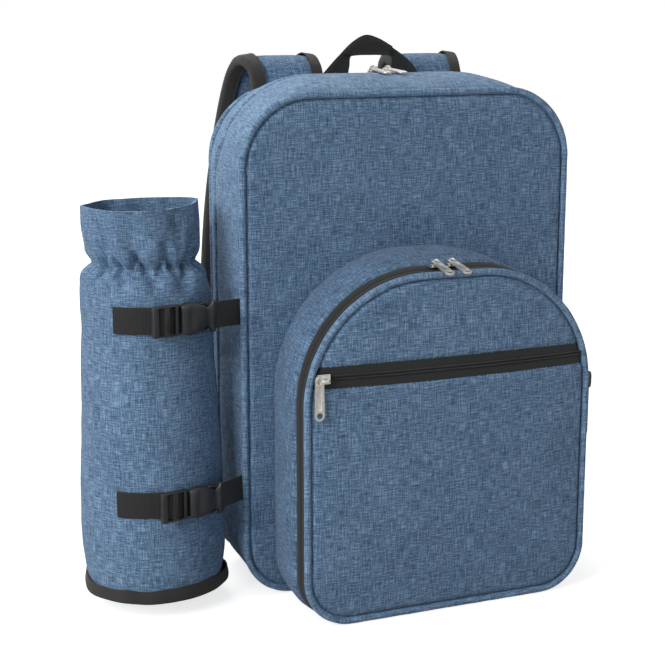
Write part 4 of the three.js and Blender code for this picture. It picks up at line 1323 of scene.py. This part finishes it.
plug, socket, prongs, thread = make_plug(), make_socket(), make_prongs(), make_thread()
for suffix, height in STRAP_HEIGHTS.items():
    plug_place = buckle_matrix(height, -BUCKLE_FORWARD - GAP - PLUG_LENGTH)
    piece = settle(copy_piece(plug, f"plug_{suffix}"), plug_place)
    dress(piece, acetal, "black_plastic", f"buckle_plug_{suffix}")
    piece = settle(copy_piece(thread, f"thread_{suffix}"), plug_place)
    dress(piece, webbing, "black_webbing")
    piece = settle(copy_piece(socket, f"socket_{suffix}"), buckle_matrix(height, -BUCKLE_FORWARD))
    dress(piece, acetal, "black_plastic", f"buckle_socket_{suffix}")
    piece = settle(copy_piece(prongs, f"prongs_{suffix}"), buckle_matrix(height, -BUCKLE_FORWARD))
    dress(piece, acetal, "black_plastic")
for pattern in (plug, socket, prongs, thread):
    make_active(pattern)
    bpy.ops.object.delete()
print("buckles placed:", len(STRAP_HEIGHTS))

# %% [markdown]
# Webbing is a woven band with ribs across it. Each band is a ribbon laid along a smooth path, with the same width
# all the way, and its end is folded back on itself and sewn. The doubled end is a second layer on the first.

# %% Ribbon helper
def ribbon(name, path, half, thick, steps=60, across=10, edge_round=0.35):
    """A band along path(v) -> (place, widthways, outwards) in millimetres."""
    length = 0.0
    previous = None
    for i in range(steps + 1):
        place, _, _ = path(i / steps)
        length += (place - previous).length if previous else 0.0
        previous = place

    def place(u, v):
        centre, wide, out = path(v)
        share = 2 * u - 1
        width = half(v) if callable(half) else half
        crown = edge_round * (1 - share**4)
        point = centre + wide * (share * width) + out * (thick - edge_round + crown)
        return point * MM

    def flat(u, v):
        width = half(v) if callable(half) else half
        return ((2 * u - 1) * width * MM, v * length * MM)

    band = shaped_grid(name, across, steps, place, flat)
    score = sum(p.normal.dot(path_out(path, p.center)) for p in band.data.polygons)
    if score < 0:
        edit_all(band, (bpy.ops.mesh.flip_normals, {}))
    apply_modifier(band, "SOLIDIFY", thickness=thick * MM, offset=-1.0)
    smooth(band)
    return band


def path_out(path, point):
    """Outward direction of a path where it passes nearest a place."""
    best = min((path(i / 24) for i in range(25)), key=lambda row: (row[0] * MM - point).length)
    return best[2]


# %% Sleeve webbing
def sleeve_web_path(height, first, last, lift):
    def path(v):
        degrees = mix(first, last, v)
        turn = math.radians(degrees)
        out = Vector((math.cos(turn), math.sin(turn), 0))
        share = (height - SLEEVE_FLOOR) / SLEEVE_HEIGHT
        stand = SLEEVE_RADIUS * sleeve_girth(share) + 1.4 * GAP + lift(v)
        place = Vector((SLEEVE_X - 4 * sleeve_lean(share), SLEEVE_Y, height)) + out * stand
        return place, Vector((0, 0, 1)), out

    return path


for suffix, height in STRAP_HEIGHTS.items():
    base_path = sleeve_web_path(height, -133, -86, lambda v: 0.5 + 2.2 * hump(v - 1, 0.22))
    web = ribbon(f"sleeve_web_{suffix}", base_path, WEB_WIDTH / 2, 1.5)
    dress(web, webbing, "black_webbing", f"sleeve_webbing_{suffix}")
    fold_path = sleeve_web_path(height, -105, -93, lambda v: 2.1 + 1.6 * v)
    fold = ribbon(f"sleeve_web_fold_{suffix}", fold_path, WEB_WIDTH / 2 - 0.3, 1.4, 20)
    dress(fold, webbing, "black_webbing")


# %% Side webbing
def side_web_path(height):
    start = buckle_matrix(height, SOCKET_LENGTH - BUCKLE_FORWARD - 1.5).translation / MM
    normal = Vector((math.cos(BUCKLE_TURN), math.sin(BUCKLE_TURN), 0))
    start += normal * 4.0
    seam_y = FRONT_Y + PIPE + 1.6
    end = Vector((-body_shape(seam_y)[0] + 1.5, seam_y, height - 2.5))
    run = (end - start)
    out = Vector((run.y, -run.x, 0)).normalized()

    def path(v):
        place = start + run * v - out * (1.2 * math.sin(math.pi * v)) - out * 0.9
        return place, Vector((0, 0, 1)), out

    return path


for suffix, height in STRAP_HEIGHTS.items():
    web = ribbon(f"side_web_{suffix}", side_web_path(height), WEB_WIDTH / 2, 1.6, 30)
    dress(web, webbing, "black_webbing", f"side_webbing_{suffix}")
print("sleeve straps laid")

# %% [markdown]
# The grab handle is a band of webbing standing on edge across the top of the bag. Its two ends are spread and
# sewn down, and its middle is folded double where the hand holds it. It is drawn as two edge lines, an inner and
# an outer one, from the left foot over the top to the right foot, with a second layer wrapped round the middle.

# %% Grab handle
HANDLE_Y = BACK_Y - 9
HANDLE_HALF, HANDLE_RISE = 44.5, 34.0
HANDLE_FOOT = body_shape(HANDLE_Y)[1] + GAP
SIDE_STOPS = [0.0, 0.17, 0.32, 0.42, 0.50, 0.58, 0.68, 0.83, 1.0]
inner_x = smooth_table(SIDE_STOPS, [-0.41, -0.37, -0.33, -0.18, 0.04, 0.24, 0.44, 0.46, 0.46])
inner_z = smooth_table(SIDE_STOPS, [0.0, 0.28, 0.52, 0.55, 0.55, 0.55, 0.52, 0.28, 0.0])
outer_x = smooth_table(SIDE_STOPS, [-1.0, -0.86, -0.56, -0.27, -0.06, 0.18, 0.50, 0.86, 1.05])
outer_z = smooth_table(SIDE_STOPS, [0.0, 0.16, 0.56, 0.88, 1.0, 0.93, 0.70, 0.36, 0.0])


def handle_path(v, inwards=0.0):
    low = Vector((inner_x(v) * HANDLE_HALF, 0, inner_z(v) * HANDLE_RISE))
    high = Vector((outer_x(v) * HANDLE_HALF, 0, outer_z(v) * HANDLE_RISE))
    return low, high


def handle_band(name, first, last, proud, thick, spill, steps):
    def place(u, v):
        low, high = handle_path(mix(first, last, v))
        wide = (high - low).normalized()
        point = low.lerp(high, u) + wide * (spill * (2 * u - 1))
        bend = 0.5 * math.sin(3.2 * math.pi * v) * u + 0.4 * math.sin(2 * math.pi * u)
        crown = 0.3 * (1 - (2 * u - 1) ** 4)
        return at(point.x, HANDLE_Y + bend - proud - crown, HANDLE_FOOT + max(point.z, 0.0))

    def flat(u, v):
        return (u * 20 * MM, mix(first, last, v) * 120 * MM)

    band = shaped_grid(name, 16, steps, place, flat)
    score = sum(p.normal.y * p.area for p in band.data.polygons)
    if score > 0:
        edit_all(band, (bpy.ops.mesh.flip_normals, {}))
    apply_modifier(band, "SOLIDIFY", thickness=thick * MM, offset=-1.0)
    smooth(band)
    return band


handle = handle_band("handle_band", 0.0, 1.0, -0.1, 1.6, 0.0, 90)
dress(handle, webbing, "black_webbing", "grab_handle")
grip = handle_band("handle_grip", 0.33, 0.67, 0.9, 3.8, 0.5, 40)
dress(grip, webbing, "black_webbing")
print("handle:", len(handle.data.polygons), "faces")

# %% [markdown]
# The shoulder straps are padded: two faces of the bag's cloth over foam, edged with a black tape. A strap leaves
# the top of the back, arches over where a shoulder goes, and narrows towards its lower end. The pad is a closed
# tube along that path. It is remeshed into even small faces and blown up by a cloth simulation with its edges
# held, which gives the soft crown and small dents of foam under cloth. The weave needs a UV map after that, so
# each point is measured across and along the path again.

# %% Path of a strap
STRAP_RISE, STRAP_REACH, STRAP_SPREAD, STRAP_WIDTH = 411.5, 44.0, 48.0, 64.0
STRAP_INSET, STRAP_SEAT_Y = 63.0, 47.5 + 0.3 + 5
ROWS = [0.0, 0.1, 0.2, 0.3, 0.4, 0.5, 0.6, 0.7, 0.8, 0.9, 1.0]
strap_rise = smooth_table(ROWS, [0.905, 0.95, 0.985, 1.0, 0.985, 0.94, 0.84, 0.71, 0.57, 0.44, 0.32])
strap_reach = smooth_table(ROWS, [0.0, 0.03, 0.19, 0.5, 0.83, 1.0, 0.96, 0.84, 0.7, 0.6, 0.54])
strap_spread = smooth_table(ROWS, [0.0, 0.0, 0.0, 0.03, 0.08, 0.17, 0.37, 0.6, 0.79, 0.91, 0.99])
strap_width = smooth_table(ROWS, [0.94, 0.94, 0.96, 1.0, 1.0, 1.0, 1.0, 0.96, 0.88, 0.78, 0.66])


def strap_centre(side, v):
    return Vector((
        side * (STRAP_INSET + STRAP_SPREAD * strap_spread(v)),
        STRAP_SEAT_Y + STRAP_REACH * strap_reach(v),
        STRAP_RISE * strap_rise(v),
    ))


def strap_axes(side, v):
    step = 0.01
    along = (strap_centre(side, min(v + step, 1)) - strap_centre(side, max(v - step, 0))).normalized()
    out = along.cross(Vector((1, 0, 0))).normalized()
    return strap_centre(side, v), out.cross(along).normalized(), out, along


def strap_tables(side, count=241):
    """Centres and axes along the strap as arrays, with the length walked so far."""
    rows = [strap_axes(side, i / (count - 1)) for i in range(count)]
    centres = np.array([tuple(row[0]) for row in rows])
    wides = np.array([tuple(row[1]) for row in rows])
    walked = np.concatenate([[0.0], np.cumsum(np.linalg.norm(np.diff(centres, axis=0), axis=1))])
    return centres, wides, walked


left_length = strap_tables(-1)[2][-1]
print("strap length:", round(float(left_length)), "mm")

# %% Cloth simulation of a pad
PAD_VOXEL = 4.0
PAD_CAP = 1.6
PAD_HALF_THICK = 4.2
SIM_FRAMES = 20


def pad_shape(name, side):
    def place(u, v):
        cap = min(1.0, v / 0.012, (1 - v) / 0.012) ** 0.5
        centre, wide, out, _ = strap_axes(side, v)
        half = STRAP_WIDTH * strap_width(v) / 2 - 1.6
        across, above = superellipse(2 * math.pi * u, 0.6)
        thin = PAD_HALF_THICK * (1 - 0.5 * abs(across) ** 5)
        return (centre + wide * (half * across * max(cap, 0.3)) + out * (thin * above * cap)) * MM

    pad = shaped_grid(name, 56, 150, place, lambda u, v: (u, v))
    face_outwards(pad)
    return pad


def measure_uv(piece, side):
    """UV of each point: across the strap and along it, in metres."""
    centres, wides, walked = strap_tables(side)
    mesh = piece.data
    if not mesh.uv_layers:
        mesh.uv_layers.new(name="UVMap")
    points = np.array([tuple(v.co) for v in mesh.vertices]) / MM
    gaps = ((points[:, None, :] - centres[None, :, :]) ** 2).sum(axis=2)
    nearest = gaps.argmin(axis=1)
    across = ((points - centres[nearest]) * wides[nearest]).sum(axis=1)
    flats = np.stack([across, walked[nearest]], axis=1) * MM
    uv = mesh.uv_layers.active.data
    for loop in mesh.loops:
        uv[loop.index].uv = flats[loop.vertex_index]
    return across


def inflate(piece, start, held_points, group_name, cap):
    """Blows a closed piece up as cloth with some points held, and lets none move further than cap."""
    held = piece.vertex_groups.new(name=group_name)
    for index in held_points:
        held.add([index], 1.0, "REPLACE")
    make_active(piece)
    cloth_modifier = piece.modifiers.new("cloth", "CLOTH")
    settings = cloth_modifier.settings
    settings.use_pressure = True
    settings.uniform_pressure_force = 4.0
    settings.effector_weights.gravity = 0.0
    settings.vertex_group_mass = held.name
    settings.quality = 4
    scene = bpy.context.scene
    cloth_modifier.point_cache.frame_start = 1
    cloth_modifier.point_cache.frame_end = SIM_FRAMES
    for frame_number in range(1, SIM_FRAMES + 1):
        scene.frame_set(frame_number)
    shaped = piece.evaluated_get(bpy.context.evaluated_depsgraph_get())
    ends = [v.co.copy() for v in shaped.data.vertices]
    piece.modifiers.remove(cloth_modifier)
    scene.frame_set(1)
    for vertex, first, last in zip(piece.data.vertices, start, ends):
        move = last - first
        if move.length > cap * MM:
            move = move.normalized() * cap * MM
        vertex.co = first + move
    piece.vertex_groups.clear()
    return piece


def puff(pad, side):
    """Remeshes a pad and inflates it as cloth, with its long edges held and its swelling capped."""
    apply_modifier(pad, "REMESH", mode="VOXEL", voxel_size=PAD_VOXEL * MM)
    start = [v.co.copy() for v in pad.data.vertices]
    centres, wides, _ = strap_tables(side)
    points = np.array([tuple(v.co) for v in pad.data.vertices]) / MM
    nearest = ((points[:, None, :] - centres[None, :, :]) ** 2).sum(axis=2).argmin(axis=1)
    across = np.abs(((points - centres[nearest]) * wides[nearest]).sum(axis=1))
    half = np.array([STRAP_WIDTH * strap_width(i / 240) / 2 for i in nearest])
    held = np.nonzero((across > half - 8) | (nearest < 3) | (nearest > 237))[0]
    return inflate(pad, start, [int(index) for index in held], "held_edge", PAD_CAP)


def make_pad(suffix, side):
    pad = puff(pad_shape(f"pad_{suffix}", side), side)
    apply_modifier(pad, "SUBSURF", levels=1, render_levels=1)
    measure_uv(pad, side)
    smooth(pad, 70)
    dress(pad, cloth, "heather_cloth", f"strap_pad_{suffix}")
    return pad


pads = {suffix: make_pad(suffix, side) for suffix, side in (("left", -1), ("right", 1))}
print("pads:", [len(pad.data.polygons) for pad in pads.values()], "faces")

# %% [markdown]
# The tape on a strap's edges is folded over them and sewn through: it shows as a band ten millimetres wide on
# each face, with a row of stitches near its inner edge. It is a strip whose rows run from one face round the edge
# to the other. At the strap's lower end the same tape closes the end.

# %% Binding of the straps
TAPE_WIDE = 10.0


def edge_profile(w):
    """Across (0 is the edge, growing inwards) and above, for w from the outer face round to the inner one."""
    if w < 0.4:
        return mix(TAPE_WIDE, 1.6, w / 0.4), mix(4.9, 3.5, w / 0.4)
    if w > 0.6:
        return mix(1.6, TAPE_WIDE, (w - 0.6) / 0.4), -mix(3.5, 4.9, (w - 0.6) / 0.4)
    angle = math.pi * (w - 0.4) / 0.2
    return 1.6 - 1.8 * math.sin(angle), 3.5 * math.cos(angle)


def binding_strip(name, side, edge_side):
    def place(u, v):
        centre, wide, out, _ = strap_axes(side, v)
        inwards, above = edge_profile(u)
        half = STRAP_WIDTH * strap_width(v) / 2
        stitch = 0.25 * hump(inwards - TAPE_WIDE + 2, 0.8)
        above = above - math.copysign(stitch, above) + 0.12 * ripple(v * 480, edge_side, side, 6)
        return (centre + wide * (edge_side * (half - inwards)) + out * above) * MM

    strip = shaped_grid(name, 28, 180, place, lambda u, v: (u * 24 * MM, v * left_length * MM))
    centres, _, _ = strap_tables(side)

    def from_centre(point):
        gaps = ((centres - np.array(tuple(point)) / MM) ** 2).sum(axis=1)
        return Vector(point) - Vector(centres[gaps.argmin()]) * MM

    finish_sheet(strip, 0, from_centre)
    apply_modifier(strip, "SOLIDIFY", thickness=0.9 * MM, offset=1.0)
    smooth(strip)
    return strip


def end_strip(name, side):
    """The tape over the strap's lower end."""
    centre, wide, out, along = strap_axes(side, 1.0)
    half = STRAP_WIDTH * strap_width(1.0) / 2

    def place(u, v):
        inwards, above = edge_profile(u)
        grow = 1.0 if above > 0 else -1.0
        sideways = wide * ((2 * v - 1) * (half - 0.2))
        return (centre + sideways - along * (inwards - 1.0) + out * (above + grow * 0.5)) * MM

    strip = shaped_grid(name, 40, 40, place, lambda u, v: (u * 24 * MM, v * 42 * MM))
    finish_sheet(strip, 0, lambda point: Vector(point) - (centre - along * 6) * MM)
    apply_modifier(strip, "SOLIDIFY", thickness=0.9 * MM, offset=1.0)
    smooth(strip)
    return strip


for suffix, side in (("left", -1), ("right", 1)):
    outer = binding_strip(f"binding_outer_{suffix}", side, side)
    inner = binding_strip(f"binding_inner_{suffix}", side, -side)
    dress(outer, binding, "binding", f"strap_binding_{suffix}")
    dress(inner, binding, "binding")
    dress(end_strip(f"binding_end_{suffix}", side), binding, "binding")
print("strap bindings laid")

# %% [markdown]
# Below the pad a narrower webbing runs to a square tab of cloth low on the back, through a flat plastic adjuster
# with two slots. The tab is sewn down along its edges. All of this is hidden in the photograph, so it is made
# plainly, in the usual way for such a bag.

# %% Lower ends of the straps
TAB_X, TAB_LOW, TAB_SIZE = 112.0, 28.0, 30.0
LOWER_HALF = 12.5
BACK_FACE_Y = 47.5


def lower_run(side):
    start = strap_centre(side, 1.0)
    end = Vector((side * TAB_X, BACK_FACE_Y + 2 * GAP + 2.4 + 0.9, TAB_LOW + TAB_SIZE))
    return start, end


LOWER_START = -0.05


def lower_path(side):
    start, end = lower_run(side)
    along = (end - start).normalized()
    out = along.cross(Vector((1, 0, 0))).normalized()
    wide = out.cross(along).normalized()

    def path(v):
        share = mix(LOWER_START, 1.0, v)
        sag = out * (2.2 * math.sin(math.pi * min(max(share, 0), 1)))
        return start + (end - start) * share + sag, wide, out

    return path, along, out


def tab_path(side):
    top = lower_run(side)[1]

    def path(v):
        return top + Vector((0, 0.4, -v * TAB_SIZE)), Vector((1, 0, 0)), Vector((0, 1, 0))

    return path


def make_adjuster():
    adjuster = block("adjuster", (30, 31, 3.2), (15, 0, 1.75), 1.2, 3)
    for first, last in ((0.2, 0.42), (0.62, 0.84)):
        size = ((last - first) * 30, 25.4, 12)
        combine(adjuster, block("slot", size, ((first + last) / 2 * 30, 0, 2), 0.6, 2), "DIFFERENCE")
    return soften(adjuster, 0.3)


adjuster = make_adjuster()
tabs = []
for suffix, side in (("left", -1), ("right", 1)):
    path, along, out = lower_path(side)
    web = ribbon(f"lower_web_{suffix}", path, LOWER_HALF, 1.6, 80)
    dress(web, webbing, "black_webbing", f"strap_webbing_{suffix}")
    sewn = ribbon(f"lower_web_end_{suffix}", tab_path(side), LOWER_HALF, 1.6, 20)
    dress(sewn, webbing, "black_webbing")
    start = strap_centre(side, 1.0)
    matrix = Matrix((along, out.cross(along).normalized(), out)).transposed().to_4x4()
    matrix.translation = (start + along * 12 + out * (0.9 + GAP + 0.6)) * MM
    piece = settle(copy_piece(adjuster, f"adjuster_{suffix}"), matrix)
    dress(piece, acetal, "black_plastic", f"strap_adjuster_{suffix}")

    def tab_place(u, v, side=side):
        edge = min(u, 1 - u, v, 1 - v) * TAB_SIZE
        proud = 2.0 - 1.2 * hump(edge, 1.6) - 0.5 * hump(edge - 3.2, 0.7)
        return at(side * TAB_X + (u - 0.5) * TAB_SIZE, BACK_FACE_Y + GAP + proud, TAB_LOW + v * TAB_SIZE)

    tab = shaped_grid(f"tab_{suffix}", 40, 40, tab_place, lambda u, v: (u * 0.03, v * 0.03))
    finish_sheet(tab, 1.2 * MM, towards_y(1))
    tabs.append(dress(tab, cloth, "heather_cloth", f"strap_anchor_{suffix}"))
make_active(adjuster)
bpy.ops.object.delete()
print("strap ends placed")

# %% [markdown]
# The back panel is the softest face: cloth over thick foam, so it is a padded piece. It starts as a flat rounded
# block a little thinner than the foam, and the same remesh and cloth simulation as on the straps fill it out.
# Its rim is held where the piping would hold it.

# %% Back panel
BACK_SHAPE = inset(BACK_SEAM, PIPE - 0.4)
BACK_CAP = 2.2


def back_block():
    middle = (BACK_SHAPE[1] + BACK_SHAPE[2]) / 2

    def place(u, v):
        ring = v * 2
        x, z, _, _ = rim_at(BACK_SHAPE, u)
        share = min(ring, 2 - ring)
        inwards = (1 - share) * BACK_SHAPE[0]
        y = BACK_Y + (1.4 if ring < 1 else -1.4) * min(1.0, inwards / 4 + 0.25)
        if share >= 1:
            y = BACK_Y
        return at(x * share, y, middle + (z - middle) * share)

    piece = shaped_grid("back_panel_pad", 200, 120, place, lambda u, v: (u, v))
    face_outwards(piece)
    return piece


def puff_back(piece):
    apply_modifier(piece, "REMESH", mode="VOXEL", voxel_size=5.0 * MM)
    start = [v.co.copy() for v in piece.data.vertices]
    rim = inset(BACK_SHAPE, 6)
    held = [i for i, point in enumerate(start) if not any_inside(rim, point.x / MM, point.z / MM)]
    return inflate(piece, start, held, "held_rim", BACK_CAP)


def flat_uv(piece):
    mesh = piece.data
    if not mesh.uv_layers:
        mesh.uv_layers.new(name="UVMap")
    uv = mesh.uv_layers.active.data
    for loop in mesh.loops:
        point = mesh.vertices[loop.vertex_index].co
        uv[loop.index].uv = (point.x, point.z)


back_pad = puff_back(back_block())
apply_modifier(back_pad, "SUBSURF", levels=1, render_levels=1)
flat_uv(back_pad)
smooth(back_pad, 70)
dress(back_pad, cloth, "heather_cloth", "back_panel")
print("back panel:", len(back_pad.data.polygons), "faces")

# %% [markdown]
# A zip slider is a small die-cast part: two plates joined by a wedge, with a bridge on top that the pull hangs
# from. The pull is a stamped tongue with a loop at one end and a round hole at the other. One of each is modelled
# flat at the world's middle by joining and cutting blocks and rods, its edges are bevelled so that they catch the
# light, and then each copy is turned into its place on a zip.

# %% Slider and pull patterns
SLIDER_LONG, SLIDER_WIDE = 10.0, 7.5


def make_slider():
    slider = block("slider", (SLIDER_LONG, SLIDER_WIDE, 0.9), (0, 0, 0.5), 0.35)
    combine(slider, block("top_plate", (8.8, 6.6, 1.0), (0.2, 0, 1.9), 0.4), "UNION")
    combine(slider, block("wedge", (2.6, 2.2, 1.6), (3.2, 0, 1.2)), "UNION")
    for side in (-1, 1):
        combine(slider, block("flange", (7.6, 0.7, 0.9), (0.2, side * 3.0, 1.0)), "UNION")
    return soften(slider, 0.18)


def make_bridge():
    """The polished arch over a slider, which its pull hangs from."""
    arch = rod("bridge", 3.9, 1.5, (0, 0, 1.9), "Y", 40)
    combine(arch, rod("arch_hole", 2.7, 5, (0, 0, 1.9), "Y", 40), "DIFFERENCE")
    combine(arch, block("below", (12, 5, 6), (0, 0, -1.1)), "DIFFERENCE")
    for vertex in arch.data.vertices:
        vertex.co.z = 1.9 * MM + (vertex.co.z - 1.9 * MM) * 1.15
    return soften(arch, 0.35, 3)


def make_pull(length):
    """A tongue along +X; its loop's middle is at the origin and its round end length away."""
    thick, loop, wide = 1.3, 3.5, 3.9
    foot = length - wide
    pull = block("pull", (foot, 2 * wide, thick), (foot / 2, 0, 0))
    for vertex in pull.data.vertices:
        share = vertex.co.x / (foot * MM)
        vertex.co.y *= mix(0.86, 1.0, share)
    combine(pull, rod("round_end", wide, thick, (foot, 0, 0), sides=40), "UNION")
    combine(pull, rod("loop_end", loop, thick, (0, 0, 0), sides=32), "UNION")
    combine(pull, rod("hole", 2.3, 5, (foot, 0, 0), sides=32), "DIFFERENCE")
    combine(pull, rod("loop_hole", 1.95, 5, (0, 0, 0), sides=24), "DIFFERENCE")
    drop = block("drop", (2.6, 2.6, 5), (0, 0, 0))
    drop.data.transform(Matrix.Translation(at(1.35, 0, 0)) @ Matrix.Rotation(QUARTER / 2, 4, "Z"))
    combine(pull, drop, "DIFFERENCE")
    dish = block("dish", (foot - 9.5, 3.0, 0.3), (5.4 + (foot - 9.5) / 2, 0, thick / 2), 0.14)
    combine(pull, dish, "DIFFERENCE")
    return soften(pull, 0.16)


slider_pattern, bridge_pattern = make_slider(), make_bridge()
short_pull, long_pull = make_pull(23.0), make_pull(30.0)
print("slider pattern:", len(slider_pattern.data.polygons), "faces")

# %% Sliders on the three zips
MAIN_ZIP_Y = (ZIP_FIRST + ZIP_LAST) / 2
POCKET_ZIP_Y = (POCKET_ZIP_FIRST + POCKET_ZIP_LAST) / 2
STRIP_X, STRIP_Z = -105.25, (STRIP_TOP + STRIP_LOW) / 2
STRIP_Y = min(face_y_at(STRIP_X + 5, STRIP_Z), face_y_at(STRIP_X + 5, STRIP_Z - 30))


def zip_matrix(place, tilt, roll=0.0):
    return Matrix.Translation(at(*place)) @ Matrix.Rotation(tilt, 4, "X") @ Matrix.Rotation(roll, 4, "Y")


def set_zip(name, place, tilt, turn, dip, pull, hang=(0.0, 0.0, 3.6), roll=0.0):
    """A slider at a place, and its pull turned and dipped from the slider's bridge."""
    base = zip_matrix(place, tilt, roll)
    slider = settle(copy_piece(slider_pattern, f"{name}_zip_slider"), base)
    dress(slider, nickel, "zip_metal", f"{name}_slider")
    bridge = settle(copy_piece(bridge_pattern, f"{name}_zip_bridge"), base)
    dress(bridge, bright_nickel, "zip_metal")
    spin = Matrix.Rotation(math.radians(turn), 4, "Z") @ Matrix.Rotation(math.radians(dip), 4, "Y")
    tongue = settle(copy_piece(pull, f"{name}_zip_pull"), base @ Matrix.Translation(at(*hang)) @ spin)
    dress(tongue, nickel, "zip_metal", f"{name}_pull")
    return slider, tongue


main_top = body_shape(MAIN_ZIP_Y + SLIDER_WIDE / 2)[1] - 0.6
for name, x, turn in (("main_left", -6.7, -82), ("main_right", 5.1, -76)):
    set_zip(name, (x, MAIN_ZIP_Y, main_top), 0.0, turn, 6, short_pull)
pocket_top = pocket_shape(POCKET_ZIP_Y + SLIDER_WIDE / 2)[1] - 0.5
for name, x, turn in (("pocket_left", -9.8, -82), ("pocket_right", 3.4, -78)):
    set_zip(name, (x, POCKET_ZIP_Y, pocket_top), 0.0, turn, 17, short_pull, hang=(0.0, 0.0, 4.2))
set_zip("strip", (STRIP_X, STRIP_Y - 0.2, STRIP_Z), QUARTER, -90, 0, long_pull, hang=(-4.4, 0.0, 3.0))
for pattern in (slider_pattern, bridge_pattern, short_pull, long_pull):
    make_active(pattern)
    bpy.ops.object.delete()
print("zip sliders set: 5")

# %% [markdown]
# The net of the side pocket is an elastic mesh: thin black cords that cross, with holes of about two millimetres.
# A fine grid is laid on the bulging shape and the Wireframe modifier turns each of its edges into a cord. Its
# corners are turned by half a cell in every second row, so the holes are lozenges as in a knitted net. A black
# tape holds its top, and a narrower one covers its other edges where they are sewn to the gusset.

# %% Mesh pocket
MESH_FLOOR, MESH_HIGH, MESH_BULGE = 58.0, 96.0, 27.5
MESH_FRONT_Y, MESH_REAR_Y = POCKET_FRONT_Y + PIPE + 21, POCKET_REAR_Y - 5


def mesh_point(across, up, out):
    y = mix(MESH_FRONT_Y, MESH_REAR_Y, across)
    full = math.sin(math.pi * across) * min(1.0, 1.25 * math.sin(QUARTER * max(up, 0.0)))
    return Vector((pocket_shape(y)[0] + GAP + MESH_BULGE * full + out, y, MESH_FLOOR + MESH_HIGH * up))


def make_net():
    across, along = 22, 44

    def place(u, v):
        row = round(v * along)
        shift = 0.25 / across if row % 2 else -0.25 / across
        inner = u + shift if 0 < u < 1 else u
        return mesh_point(inner, v, 0.5) * MM

    net = shaped_grid("side_net", across, along, place, lambda u, v: (u * 0.06, v * 0.1))
    finish_sheet(net, 0, lambda point: Vector((1, 0, 0)))
    apply_modifier(net, "WIREFRAME", thickness=0.55 * MM, use_even_offset=False, use_boundary=True)
    smooth(net)
    return net


def net_tape(name, places, half, thick):
    """A tape along a list of (across, up) places on the net."""
    stops = [i / (len(places) - 1) for i in range(len(places))]
    across = smooth_table(stops, [p[0] for p in places])
    up = smooth_table(stops, [p[1] for p in places])

    def path(v):
        here = mesh_point(across(v), up(v), 1.0)
        after = mesh_point(across(min(v + 0.01, 1)), up(min(v + 0.01, 1)), 1.0)
        before = mesh_point(across(max(v - 0.01, 0)), up(max(v - 0.01, 0)), 1.0)
        along = (after - before).normalized()
        side_a = mesh_point(min(across(v) + 0.02, 1), up(v), 0) - mesh_point(max(across(v) - 0.02, 0), up(v), 0)
        side_b = Vector((0, 0, 1))
        out = side_a.cross(side_b).normalized()
        if out.x < 0:
            out = -out
        return here, out.cross(along).normalized(), out

    return ribbon(name, path, half, thick, 80, 8)


net = make_net()
dress(net, net_cord, "black_net", "mesh_pocket")
hem_places = [(i / 8, 1.0 + 4.5 / MESH_HIGH) for i in range(9)]
hem = net_tape("net_hem", hem_places, 5.5, 1.6)
dress(hem, webbing, "black_webbing", "mesh_hem")
edge_places = [
    (0.0, 1.02), (0.0, 0.7), (0.0, 0.35), (0.02, 0.06), (0.1, 0.0), (0.35, 0.0), (0.65, 0.0), (0.9, 0.0)
]
edge_places += [(0.98, 0.06), (1.0, 0.35), (1.0, 0.7), (1.0, 1.02)]
dress(net_tape("net_edge", edge_places, 2.6, 1.0), binding, "binding")
print("net:", len(net.data.polygons), "faces")

# %% [markdown]
# Every piece of cloth was cut flat before it was sewn. Gussets are strips as long as the outline that they run
# round; panels are cut to their outline.

# %% Flat sizes of the cloth
def width_at(shape, z):
    half, top, bottom, high, low = shape
    if z > top - high:
        return half - high + math.sqrt(max(high**2 - (z - top + high) ** 2, 0))
    if z < bottom + low:
        return half - low + math.sqrt(max(low**2 - (z - bottom - low) ** 2, 0))
    return half


def cut_area(shape, low, high, strips=200):
    step = (high - low) / strips
    return sum(2 * width_at(shape, low + (i + 0.5) * step) * step for i in range(strips))


def declare(piece, width, length, area=None):
    area and area * MM * MM


body_round = rim_length(body_shape(0))
pocket_round = rim_length(pocket_shape(-85))
panel_cut, face_cut = inset(FRONT_SEAM, PIPE - 0.6), inset(POCKET_SEAM, PIPE - 0.6)
declare(gusset_front, ZIP_FIRST + ZIP_LIP - FRONT_Y - PIPE, body_round)
declare(gusset_back, BACK_Y - PIPE - ZIP_LAST + ZIP_LIP, body_round)
declare(pocket_gusset, POCKET_REAR_Y - POCKET_ZIP_LAST, pocket_round)
base_length = 2 * POCKET_ZIP_END * pocket_round
declare(pocket_base, POCKET_ZIP_LAST - POCKET_ZIP_FIRST, base_length)
for piece, cut, low, high, holder in (
    (main_panel, panel_cut, panel_cut[2], panel_cut[1], main_piping),
    (face_upper, face_cut, STRIP_TOP, face_cut[1], pocket_piping),
    (face_lower, face_cut, face_cut[2], STRIP_LOW, pocket_piping),
):
    declare(piece, 2 * cut[0], high - low, cut_area(cut, low, high))
declare(sleeve, 2 * math.pi * SLEEVE_RADIUS, SLEEVE_HEIGHT)
floor_radius = SLEEVE_RADIUS * 0.94 - 3
floor_width, floor_area = 2 * floor_radius, math.pi * floor_radius**2
declare(sleeve_floor, floor_width, floor_width, floor_area)
for tab in tabs:
    declare(tab, TAB_SIZE, TAB_SIZE)
print("cloth declared:", 9 + len(tabs), "sheets")
